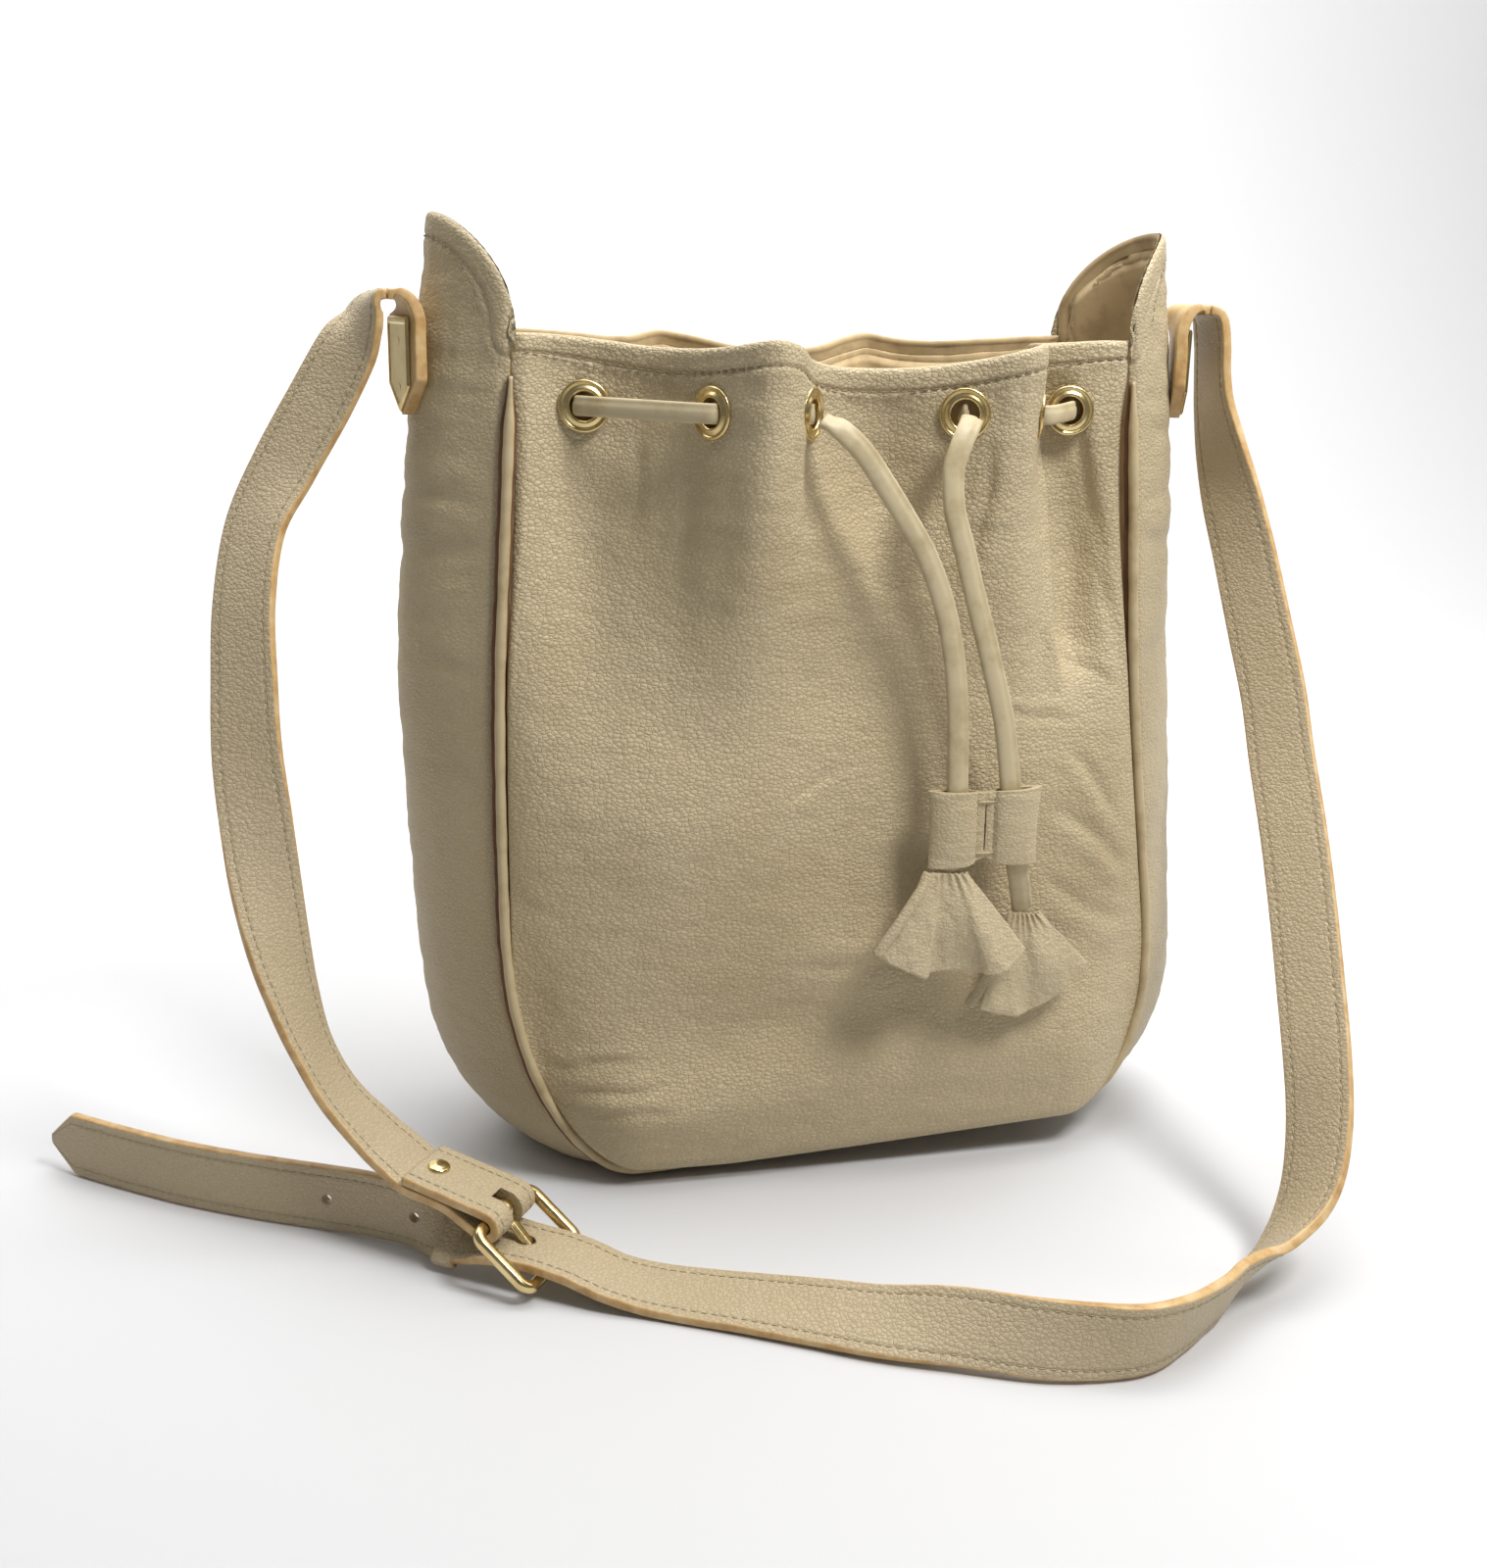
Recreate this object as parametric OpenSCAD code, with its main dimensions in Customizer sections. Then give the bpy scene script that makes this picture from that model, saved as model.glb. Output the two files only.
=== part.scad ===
// Drawstring bucket bag with a buckled shoulder strap, millimetres.
// Origin: on the floor under the middle of the mouth. +X right, +Y back, +Z up.

/* [Bag body] */
// Height of the rim between the two side ears
rim_z = 318; // [300:1:335]
// Height of the side ears above the rim
ear_h = 40; // [30:1:45]
// Half width of the front and back panels at the rim
seam_half_top = 115; // [110:1:120]
// Half width of the front and back panels at the belly
seam_half_low = 128; // [124:1:132]
// Half width at the side creases, at the belly
crease_half_low = 158; // [154:1:164]
// Half width at the tips of the ears
crease_half_top = 140; // [136:1:144]
// Half depth between the two seams on the floor
seam_y_low = 50; // [46:1:54]
// Half depth between the two seams at the rim
seam_y_top = 37; // [34:1:40]
// How far the front and back panels belly out past their seams
belly = 22; // [14:1:24]
// Sideways slump of the belly towards +X
slump = 16; // [0:1:18]
// Leather thickness
leather_t = 1.6; // [1.2:0.1:2]

/* [Trim] */
// Radius of the piping in the seams
piping_r = 1.9; // [1.5:0.1:2.2]
// Bore radius of the eyelets
eyelet_bore_r = 5; // [4.5:0.1:5.5]
// Outer radius of the eyelet flanges
eyelet_flange_r = 9.2; // [8.5:0.1:10]
// Height of the eyelet centres
eyelet_z = 293; // [288:1:296]
// Width of the flat drawstring
lace_w = 8; // [7:0.5:9]
// Thickness of the flat drawstring
lace_t = 3.6; // [3:0.2:4]

/* [Shoulder strap] */
// Strap width
strap_w = 25; // [22:0.5:26]
// Strap thickness
strap_t = 3.4; // [3:0.1:3.6]
// Thickness of the sewn strap ends on the bag
tab_t = 4.4; // [4:0.1:5]
// Radius of the buckle wire
wire_r = 2.2; // [2:0.1:2.4]
// Buckle width between wire centres
buckle_w = 35; // [33:0.5:37]
// Buckle length between wire centres
buckle_l = 26; // [25:0.5:27]

/* [Hidden] */

// Colours
cream = [0.80, 0.71, 0.55];
tan = [0.75, 0.58, 0.34];
gold = [0.78, 0.64, 0.36];
cloth = [0.68, 0.57, 0.40];

// Body outline
ear_z = rim_z + ear_h;
belly_z = 100;
seam_corner = [42, 85];
crease_corner = [45, 70];
seam_floor = 3.2;
slump_top = 210;
crease_power = 1.8;
side_rows = 14;
corner_rows = 8;
floor_rows = 8;
gusset_rows = 2 * (side_rows + corner_rows) + floor_rows;
gusset_cols = 10;
panel_cols = 36;
panel_rows = 13;
seam_gap = piping_r + 0.8;
seam_inset = 3.2;
piping_start = 1;
piping_sides = 8;
lining_gap = 0.4;
lining_t = 0.8;
lining_drop = 9;

// Pleated line of the rim from left to right, seen from above
front_rim = [[-115, -37, 318], [-100, -33, 317.5], [-85, -34, 316], [-68, -43, 314],
    [-54, -58, 314], [-44, -74, 316], [-33, -82, 318], [-22, -74, 316], [-14, -61, 311],
    [0, -52, 308], [22, -52, 308], [44, -58, 311], [60, -66, 315], [70, -62, 317],
    [75, -48, 317], [79, -34, 316.5], [90, -33, 317], [103, -36, 318], [115, -37, 318]];
back_rim = [[115, 37, 318], [100, 34, 317.5], [85, 36, 316.5], [70, 45, 315],
    [58, 60, 315], [44, 70, 317], [30, 61, 315], [16, 49, 312], [0, 45, 311],
    [-16, 49, 312], [-30, 61, 315], [-44, 70, 317], [-58, 60, 315], [-70, 45, 315],
    [-85, 36, 316.5], [-100, 34, 317.5], [-115, 37, 318]];
// Eyelet places as shares of the rim line
front_eyelets = [0.095, 0.245, 0.435, 0.61, 0.765, 0.9];
back_eyelets = [0.1, 0.25, 0.42, 0.58, 0.75, 0.9];
// Half width and half thickness of the lace in the eyelets, and how far it runs out and in
mouth_lace = [2.4, 1.4];
lace_out = 4.6;
lace_in = -6;
lace_to_left = [-13.4, -67.9, 291.8];
lace_to_right = [43.2, -62.1, 291.5];

// Drawstring tails, from their eyelets down to the tassels
tail_left = [[-13, -70, 291], [-8, -73, 288.5], [0, -75, 281], [8, -76, 270], [16, -77, 258],
    [24, -77.5, 245], [31, -78, 228], [35.5, -78.5, 210], [38, -79, 190], [39, -79.5, 170],
    [39.5, -80, 150], [39, -80.3, 138], [37.5, -80.8, 128]];
tail_right = [[43, -64, 291], [40.5, -68, 288.5], [37, -71, 283], [34, -73, 274],
    [34.5, -74.5, 261], [38.5, -75.5, 247], [43, -76.5, 231], [47.5, -77.5, 216],
    [52, -78.5, 200], [56, -79, 185], [58.5, -79.5, 170], [60.3, -80, 156], [61.8, -80.3, 144],
    [63.7, -80, 132], [67.5, -76.5, 120], [71, -71.6, 110]];

// Strap route: place, direction across the strap, share of the full width
short_run = [[[-156.3, -5, 329.5], [0, -1, 0]], [[-159, -5, 329], [0.05, -0.99, 0]],
    [[-162.3, -5.2, 325.5], [0.25, -0.95, -0.1]],
    [[-165, -6, 319], [0.45, -0.85, -0.25]], [[-170, -6, 310], [0.62, -0.62, -0.45]],
    [[-180, -5, 292], [0.7, -0.52, -0.5]], [[-193, -6, 270], [0.76, -0.54, -0.36]],
    [[-204, -12, 249], [0.78, -0.62, -0.05]], [[-209, -23, 223], [0.82, -0.56, 0.1]],
    [[-210, -33, 196], [0.88, -0.45, 0.1]], [[-210, -40, 173], [0.95, -0.3, 0.08]],
    [[-208, -46, 150], [0.99, -0.05, 0.02]], [[-206, -50, 130], [0.96, 0.25, -0.08]],
    [[-203, -54, 110], [0.84, 0.5, -0.18]], [[-199, -57, 91], [0.68, 0.68, -0.26]],
    [[-193, -61, 71], [0.53, 0.81, -0.24]], [[-184, -67, 54], [0.48, 0.87, -0.1]],
    [[-172, -74, 41], [0.49, 0.87, 0.05]], [[-164, -80, 34.5], [0.56, 0.82, 0.06]]];
long_run = [[[156.3, -5, 329.5], [0, -1, 0]], [[159, -5, 329], [0, -1, 0]],
    [[162.2, -5.7, 325.5], [0, -1, 0]],
    [[163.5, -7, 316], [0, -1, 0]], [[164, -8, 305], [0, -1, 0.05]],
    [[165, -10, 292], [0.08, -0.99, 0.1]], [[167, -15, 276], [0.3, -0.95, 0.1]],
    [[170, -22, 257], [0.52, -0.84, 0.05]], [[173, -31, 236], [0.6, -0.78, 0.1]],
    [[175, -44, 210], [0.65, -0.75, 0.1]], [[176, -57, 187], [0.64, -0.76, 0.05]],
    [[175, -70, 164], [0.62, -0.78, 0]], [[173, -87, 139], [0.61, -0.79, 0]],
    [[170, -104, 114], [0.6, -0.8, 0]], [[166, -121, 90], [0.58, -0.81, 0.05]],
    [[162, -136, 70], [0.55, -0.82, 0.12]], [[158, -148, 52], [0.48, -0.84, 0.2]],
    [[152, -158, 36], [0.38, -0.87, 0.3]], [[144, -165, 25], [0.2, -0.9, 0.38]],
    [[133, -171.5, 17.8], [-0.1, -0.88, 0.45]], [[121, -177, 13.4], [-0.35, -0.78, 0.5]],
    [[108, -187, 13.6], [-0.46, -0.66, 0.58]], [[95, -197, 13.8], [-0.42, -0.58, 0.7]],
    [[80, -206, 13.8], [-0.3, -0.38, 0.87]], [[66, -211, 13.8], [-0.2, -0.1, 0.97]],
    [[52, -210, 13.5], [-0.1, 0.12, 0.99]], [[31, -203, 13], [0, 0.4, 0.92]],
    [[8, -190, 12], [0.12, 0.62, 0.78]], [[-14, -177, 8.8], [0.24, 0.82, 0.5]],
    [[-31, -166, 7.2], [0.27, 0.88, 0.38]], [[-52, -153, 5.5], [0.3, 0.92, 0.24]],
    [[-68, -144, 4.5], [0.35, 0.92, 0.18]], [[-83, -136, 4.5], [0.42, 0.9, 0.12]],
    [[-95, -130, 6.5], [0.5, 0.86, 0.06]], [[-105.5, -123.5, 9.8], [0.58, 0.81, 0.04]],
    [[-113.5, -118.5, 11.4], [0.61, 0.79, 0.04]], [[-121, -113, 11.6], [0.61, 0.79, 0.04]],
    [[-131, -106, 11.6], [0.61, 0.77, 0.14]], [[-139, -100.2, 12], [0.52, 0.7, 0.45]],
    [[-145.5, -96, 12.6], [0.4, 0.56, 0.72]],
    [[-152, -91.5, 13.4], [0.2, 0.3, 0.93]], [[-160, -86, 13.7], [0, 0, 1]],
    [[-175, -75, 13.6], [0, 0, 1]], [[-190, -66, 13.2], [0, 0, 1]], [[-215, -53, 13.2], [0, 0, 1]],
    [[-240, -38, 13.2], [0, 0, 1]], [[-262, -22, 13.2], [0, 0, 1]], [[-282, -6, 13.2], [0, 0, 1]]];
tail_tip = [-291, 2, 13.2];
// Places of the two spare holes along the tail
spare_holes = [[-159, -86.7, 13.7], [-189, -66.6, 13.2]];
spare_hole_dir = [0.52, 0.85, 0];
strap_hole_r = 2;

// Strap ends sewn on the side creases, left one; the right one mirrors it
tab_run = [[[-149, -7.5, 288], [0.34, -0.94, 0]], [[-149, -7.4, 294.3], [0.34, -0.94, 0]],
    [[-149, -7.3, 300.5], [0.34, -0.94, 0]], [[-149, -7.1, 307], [0.34, -0.94, 0]],
    [[-149, -6.8, 314], [0.34, -0.94, 0]], [[-149, -6.4, 320.5], [0.34, -0.94, 0]],
    [[-149.7, -5.8, 326], [0.2, -0.98, 0]], [[-152, -5.1, 329.1], [0.03, -1, 0]],
    [[-155.4, -5, 329.5], [0, -1, 0]]];
// Widths at the first stations, which make the pointed tip
tab_tip_widths = [1.5, 13.3];
plate_mid = [-151.4, -7.9, 305.5];
plate_turn = 20;
plate_size = [17, 33, 1.2];
plate_point = 9;
rivet_r = 1.5;
plate_rivet_z = [-8, 8];

// Buckle: hinge bar centre, direction of the bars, direction from hinge to end bar
hinge_at = [-130.5, -106, 23];
bar_dir = unit([0.607, 0.788, 0.042]);
frame_dir = unit([0.635, -0.442, -0.635]);
fold_r = wire_r + 0.5 + strap_t / 2;
fold_dir = unit([-0.78, 0.6, 0.17]);
frame_up = unit(cross(frame_dir, bar_dir));
up_dir = unit(cross(bar_dir, fold_dir));
// Reach and rise of the strap's layer under the folded-back end
fold_rise = [[34, 5.1], [24, 5.1], [16, 4.8], [8, 2.2], [1, 0]];
fold_len = 34;
slot_w = 6;
keeper_at = [-145.5, -96, 12.6];
keeper_run = unit([-0.82, 0.57, 0.06]);
keeper_up = [0.4, 0.56, 0.72];
keeper_size = [9, 6.4, strap_w + 3];
keeper_hole = [10, 4.2, strap_w + 1.2];
prong_w = 4;
prong_t = 2.2;
prong_slope = 8;
prong_hole_x = 15.4;
buckle_corner_r = 3.2;
dome_r = 4;
rivet_reach = 27;

// Cord slide: a flat sleeve with two tunnels
fan_t = 2.6;
slide_at = [50.2, -80, 145.5];
slide_size = [43, 9, 28];
tunnel_size = [15.5, 5.6];
tunnel_x = 10.75;
slide_tilt = -2;
staple_y = 3.5;
staple_size = [2, 0.7, 6];

function unit(v) = v / norm(v);
function mix(a, b, t) = a + (b - a) * t;
function clamp01(t) = min(1, max(0, t));
function smooth(a, b, t) = let(k = clamp01((t - a) / (b - a))) k * k * (3 - 2 * k);

// Point at share s along a smooth curve through a list of points
function along(pts, s) =
    let(last = len(pts) - 1, q = clamp01(s) * last, i = min(floor(q), last - 1), t = q - i,
        a = i > 0 ? pts[i - 1] : 2 * pts[0] - pts[1], b = pts[i], c = pts[i + 1],
        d = i + 2 <= last ? pts[i + 2] : 2 * pts[last] - pts[last - 1])
    0.5 * (2 * b + (c - a) * t + (2 * a - 5 * b + 4 * c - d) * t * t
        + (3 * b - a - 3 * c + d) * t * t * t);

// Widths and depths of the body by height
function slump_at(z) = slump * pow(max(0, 1 - z / slump_top), 1.5);
function seam_half(z) =
    mix(seam_half_low, seam_half_top, max(0, z - belly_z) / (rim_z - belly_z));
function crease_half(z) =
    mix(crease_half_low, crease_half_top, pow(max(0, z - belly_z) / (ear_z - belly_z), 2));
function seam_y(z) = mix(seam_y_low, seam_y_top, pow(clamp01(z / rim_z), 1.5));

// Gusset point: row i runs from the left rim under the bag to the right rim,
// t runs from the front seam (-1) over the crease (0) to the back seam (1)
function gusset_point(i, t) =
    let(k = 1 - pow(abs(t), crease_power), left = i <= gusset_rows / 2,
        j = left ? i : gusset_rows - i, side = left ? -1 : 1,
        top = rim_z + ear_h * sqrt(max(0, 1 - pow(abs(t), 2.4))),
        corner = mix(seam_corner, crease_corner, k), base = seam_floor * smooth(0.6, 1, abs(t)),
        corner_z = base + corner[1],
        half_low = mix(seam_half(corner_z), crease_half(corner_z), k),
        turn = clamp01((j - side_rows) / corner_rows) * 90,
        run = max(0, j - side_rows - corner_rows) / (floor_rows / 2),
        z = j <= side_rows ? mix(top, corner_z, j / side_rows) : corner_z - corner[1] * sin(turn),
        half = j <= side_rows ? mix(seam_half(z), crease_half(z), k)
            : (half_low - corner[0] + corner[0] * cos(turn)) * (run > 0 ? 1 - run : 1))
    [side * half + slump_at(z), t * seam_y(z), z];

// Panel point: q across the panel from left to right, v from the bottom seam to the rim
function panel_point(rim, face, q, v) =
    let(c = seam_corner, corner_q = 0.2, left = q <= 0.5, e = left ? q : 1 - q,
        side = left ? -1 : 1, corner_z = seam_floor + c[1], turn = clamp01(e / corner_q) * 90,
        half = seam_half(corner_z),
        run = clamp01((e - corner_q) / (0.5 - corner_q)),
        xb = side * (half - c[0] + c[0] * cos(turn)) * (1 - run),
        zb = corner_z - c[1] * sin(turn),
        top = along(rim, face < 0 ? q : 1 - q),
        z = mix(zb, top[2], v), pleat = smooth(0.45, 1, v) * mix(0.75, 1, v),
        x_flat = mix(xb, mix(-seam_half_top, seam_half_top, q), v),
        x = mix(x_flat, top[0], pleat),
        swell = (1 - pow(abs(2 * q - 1), 2.6)) * sin(90 * clamp01(v / 0.35))
            * mix(1, 0.6, smooth(0.35, 1, v)),
        y = mix(face * (seam_y(z) + belly * swell), top[1], pleat))
    [x + slump_at(z), y, z];

// Front and back panel points seen as one grid function
function front_point(q, v) = panel_point(front_rim, -1, q, v);
function back_point(q, v) = panel_point(back_rim, 1, q, v);
function front_side(q, v) = cross(front_point(q + 0.01, v) - front_point(q - 0.01, v),
    front_point(q, v + 0.01) - front_point(q, v - 0.01));
function back_side(q, v) = cross(back_point(q, v + 0.01) - back_point(q, v - 0.01),
    back_point(q + 0.01, v) - back_point(q - 0.01, v));
function eyelet_v(q, pt) = (eyelet_z - pt(q, 0)[2]) / (pt(q, 1)[2] - pt(q, 0)[2]);

// Closed sheet between a grid of outer points and a grid of inner points
module sheet(outer, inner) {
    rows = len(outer);
    cols = len(outer[0]);
    n = rows * cols;
    pts = concat([for (r = outer) for (p = r) p], [for (r = inner) for (p = r) p]);
    skin = [for (i = [0 : rows - 2]) for (j = [0 : cols - 2])
        let(a = i * cols + j) each [[a, a + 1, a + cols + 1], [a, a + cols + 1, a + cols]]];
    back = [for (f = skin) [f[2] + n, f[1] + n, f[0] + n]];
    rim = concat([for (j = [0 : cols - 2]) [j, j + 1]],
        [for (i = [0 : rows - 2]) [i * cols + cols - 1, (i + 1) * cols + cols - 1]],
        [for (j = [cols - 1 : -1 : 1]) [(rows - 1) * cols + j, (rows - 1) * cols + j - 1]],
        [for (i = [rows - 1 : -1 : 1]) [i * cols, (i - 1) * cols]]);
    edge = [for (e = rim) each [[e[1], e[0], e[0] + n], [e[1], e[0] + n, e[1] + n]]];
    polyhedron(points = pts, faces = concat(skin, back, edge));
}

// How far the lower part of a panel is drawn in from the seams at its sides
function inset(q, v) = [seam_inset * (2 * q - 1) * (1 - smooth(0.3, 0.7, v)), 0, 0];

// Panel sheet between two depths below the outer surface
module panel_sheet(pt, side, from, to, top_drop, edge_gap) {
    q0 = edge_gap / (2 * seam_half_top);
    v0 = edge_gap / rim_z;
    v1 = 1 - top_drop / rim_z;
    grid = [for (i = [0 : panel_rows]) [for (j = [0 : panel_cols])
        let(q = mix(q0, 1 - q0, j / panel_cols), v = mix(v0, v1, i / panel_rows),
            p = pt(q, v) - inset(q, v), m = unit(side(q, v))) [p - m * from, p - m * to]]];
    flip = pt(0.5, 0.5)[1] > 0;
    a = [for (r = grid) [for (e = r) e[flip ? 1 : 0]]];
    b = [for (r = grid) [for (e = r) e[flip ? 0 : 1]]];
    sheet(b, a);
}

module panel_holes(list, pt, side) {
    for (q = list) {
        v = eyelet_v(q, pt);
        at(pt(q, v), side(q, v)) cylinder(r = eyelet_bore_r + 1.2, h = 8, center = true, $fn = 40);
    }
}

// Puts children at a point with +Z along a direction
module at(p, dir) {
    d = unit(dir);
    translate(p) rotate([0, acos(d[2]), atan2(d[1], d[0])]) children();
}

module front_panel() {
    color(cream) difference() {
        panel_sheet(function(q, v) front_point(q, v), function(q, v) front_side(q, v),
            0, leather_t, 0, seam_gap);
        panel_holes(front_eyelets, function(q, v) front_point(q, v),
            function(q, v) front_side(q, v));
    }
}

module back_panel() {
    color(cream) difference() {
        panel_sheet(function(q, v) back_point(q, v), function(q, v) back_side(q, v),
            0, leather_t, 0, seam_gap);
        panel_holes(back_eyelets, function(q, v) back_point(q, v),
            function(q, v) back_side(q, v));
    }
}

module lining_front() {
    near = leather_t + lining_gap;
    color(cloth) difference() {
        panel_sheet(function(q, v) front_point(q, v), function(q, v) front_side(q, v),
            near, near + lining_t, lining_drop, seam_gap + 2);
        panel_holes(front_eyelets, function(q, v) front_point(q, v),
            function(q, v) front_side(q, v));
    }
}

module lining_back() {
    near = leather_t + lining_gap;
    color(cloth) difference() {
        panel_sheet(function(q, v) back_point(q, v), function(q, v) back_side(q, v),
            near, near + lining_t, lining_drop, seam_gap + 2);
        panel_holes(back_eyelets, function(q, v) back_point(q, v),
            function(q, v) back_side(q, v));
    }
}

function gusset_side(i, t) =
    let(a = max(0, i - 0.5), b = min(gusset_rows, i + 0.5))
    unit(cross(gusset_point(b, t) - gusset_point(a, t),
        gusset_point(i, t + 0.04) - gusset_point(i, t - 0.04)));

// Gusset sheet between two depths, its edges trimmed back from the seams
module gusset_sheet(from, to, trim) {
    grid = [for (i = [0 : gusset_rows]) [for (j = [0 : gusset_cols])
        let(t = mix(-1, 1, j / gusset_cols) * (1 - trim), p = gusset_point(i, t),
            m = gusset_side(i, t)) [p + m * from, p + m * to]]];
    sheet([for (r = grid) [for (e = r) e[0]]], [for (r = grid) [for (e = r) e[1]]]);
}

module gusset() {
    color(cream) gusset_sheet(0, leather_t, 0.06);
}

module lining_gusset() {
    near = leather_t + lining_gap;
    color(cloth) gusset_sheet(near, near + lining_t, 0.12);
}

// Tube swept along rings; each ring is [centre, across, along the second half axis]
module swept(rings, half_a, half_b, sides) {
    n = len(rings);
    pts = [for (r = rings) for (k = [0 : sides - 1])
        r[0] + r[1] * half_a * cos(360 * k / sides) + r[2] * half_b * sin(360 * k / sides)];
    walls = [for (i = [0 : n - 2]) for (k = [0 : sides - 1])
        let(a = i * sides + k, b = i * sides + (k + 1) % sides)
        each [[a, b, b + sides], [a, b + sides, a + sides]]];
    start = [[for (k = [sides - 1 : -1 : 0]) k]];
    stop = [[for (k = [0 : sides - 1]) (n - 1) * sides + k]];
    polyhedron(points = pts, faces = concat(walls, start, stop));
}

// Rings along a curve with a preferred direction across it
function rings_along(pts, count, across) = [for (i = [0 : count])
    let(s = i / count, e = 0.004, tangent = unit(along(pts, s + e) - along(pts, s - e)),
        b = unit(cross(across, tangent)), a = cross(tangent, b))
    [along(pts, s), a, b]];

module piping(face) {
    rings = [for (i = [piping_start : gusset_rows - piping_start])
        let(p = gusset_point(i, face), tangent = unit(gusset_point(i + 0.3, face)
                - gusset_point(i - 0.3, face)),
            b = unit(cross([0, face, 0], tangent)), a = cross(tangent, b))
        [p + [0, face * 0.6, 0], a, b]];
    swept(rings, piping_r, piping_r, piping_sides);
}

module front_piping() {
    color(cream) piping(-1);
}

module back_piping() {
    color(cream) piping(1);
}

// Eyelet barrel with its domed flange, outer face towards +Z
module eyelet() {
    rotate_extrude($fn = 48) {
        polygon([[eyelet_bore_r, -3.4], [eyelet_bore_r + 0.8, -3.4], [eyelet_bore_r + 0.8, 0.3],
            [eyelet_flange_r, 0.3], [eyelet_flange_r, 0.8], [eyelet_flange_r - 1.2, 1.7],
            [eyelet_bore_r + 1, 1.9], [eyelet_bore_r, 1]]);
    }
}

module washer() {
    translate([0, 0, -3.3]) difference() {
        cylinder(r = eyelet_flange_r - 1, h = 0.5, $fn = 48);
        translate([0, 0, -1]) cylinder(r = eyelet_bore_r + 0.9, h = 3, $fn = 48);
    }
}

module on_front() {
    for (q = front_eyelets) {
        v = eyelet_v(q, function(a, b) front_point(a, b));
        at(front_point(q, v), front_side(q, v)) children();
    }
}

module on_back() {
    for (q = back_eyelets) {
        v = eyelet_v(q, function(a, b) back_point(a, b));
        at(back_point(q, v), back_side(q, v)) children();
    }
}

module eyelets_front() {
    color(gold) on_front() eyelet();
}

module eyelets_back() {
    color(gold) on_back() eyelet();
}

module washers_front() {
    color(gold) on_front() washer();
}

module washers_back() {
    color(gold) on_back() washer();
}

// Lace threaded through the eyelets, in through one and out through the next
function lace_point(list, pt, side, k, off) =
    let(q = list[k], v = eyelet_v(q, pt)) pt(q, v) + unit(side(q, v)) * off;
function front_lace(k, off) = lace_point(front_eyelets, function(q, v) front_point(q, v),
    function(q, v) front_side(q, v), k, off);
function back_lace(k, off) = lace_point(back_eyelets, function(q, v) back_point(q, v),
    function(q, v) back_side(q, v), k, off);

module drawstring_mouth() {
    route = [lace_to_left, front_lace(2, 3), front_lace(2, lace_in), front_lace(1, lace_in),
        front_lace(1, -1), front_lace(1, lace_out), front_lace(0, lace_out), front_lace(0, -1),
        front_lace(0, lace_in),
        [-112, -22, 296], [-126, 0, 297], [-112, 22, 296],
        back_lace(0, lace_in), back_lace(0, -1), back_lace(0, lace_out), back_lace(1, lace_out),
        back_lace(1, -1), back_lace(1, lace_in), back_lace(2, lace_in), back_lace(2, -1),
        back_lace(2, lace_out), back_lace(3, lace_out), back_lace(3, -1), back_lace(3, lace_in),
        back_lace(4, lace_in), back_lace(4, -1), back_lace(4, lace_out), back_lace(5, lace_out),
        back_lace(5, -1), back_lace(5, lace_in), [112, 22, 296], [126, 0, 297], [112, -22, 296],
        front_lace(5, lace_in), front_lace(5, -1), front_lace(5, lace_out), front_lace(4, lace_out),
        front_lace(4, -1), front_lace(4, lace_in), front_lace(3, lace_in), front_lace(3, 3), lace_to_right];
    color(cream) swept(rings_along(route, 156, [0, 0, 1]), mouth_lace[0], mouth_lace[1], 6);
}

module tail(route, count) {
    color(cream) swept(rings_along(route, count, [1, 0, 0]), lace_w / 2, lace_t / 2, 10);
}

module drawstring_tail_left() {
    tail(tail_left, 34);
}

module drawstring_tail_right() {
    tail(tail_right, 38);
}

module slide_profile(grow) {
    w = slide_size[0] + 2 * grow;
    t = slide_size[1] + 2 * grow;
    for (s = [-1, 1])
        translate([s * w / 4, 0]) hull() {
            for (e = [-1, 1]) translate([e * (w / 4 - t / 2), 0]) circle(d = t, $fn = 32);
        }
    square([w / 2, t - 4], center = true);
}

module cord_slide() {
    r = tunnel_size[1] / 2;
    color(cream) translate(slide_at) rotate([slide_tilt, 0, 0]) difference() {
        linear_extrude(slide_size[2], center = true) slide_profile(0);
        for (s = [-1, 1]) translate([s * tunnel_x, 0, 0])
            linear_extrude(slide_size[2] + 2, center = true)
                square([tunnel_size[0], tunnel_size[1]], center = true);
    }
}

// Two thread staples that close the seam between the tunnels
module slide_staples() {
    color(cloth) translate(slide_at) rotate([slide_tilt, 0, 0])
        for (s = [-1, 1]) translate([0, -staple_y, s * slide_size[2] * 0.33])
            cube(staple_size, center = true);
}

// Fan of pleated leather, gathered at its top
module fan(height, top_w, low_w, depth, waves, lean, slant) {
    steps = 7;
    n = 24;
    grid = [for (i = [0 : steps]) let(v = i / steps, w = mix(top_w, low_w, v), d = mix(3, depth, v))
        [for (k = [0 : n]) let(u = 2 * k / n - 1)
            [u * w + lean * v, -d * (0.5 + 0.32 * cos(180 * waves * u)),
                -v * height + slant * u * w * v]]];
    inner = [for (r = grid) [for (p = r) p + [0, fan_t, 0]]];
    sheet(inner, grid);
}

module tassel_left() {
    color(cream) translate([37.3, -80.8, 126.9]) fan(40, 5, 26, 8, 2.5, 4, 0.2);
}

module tassel_right() {
    color(cream) translate([71, -71.2, 108]) fan(43, 5, 24, 8, 2.5, 2, 0.26);
}

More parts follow.
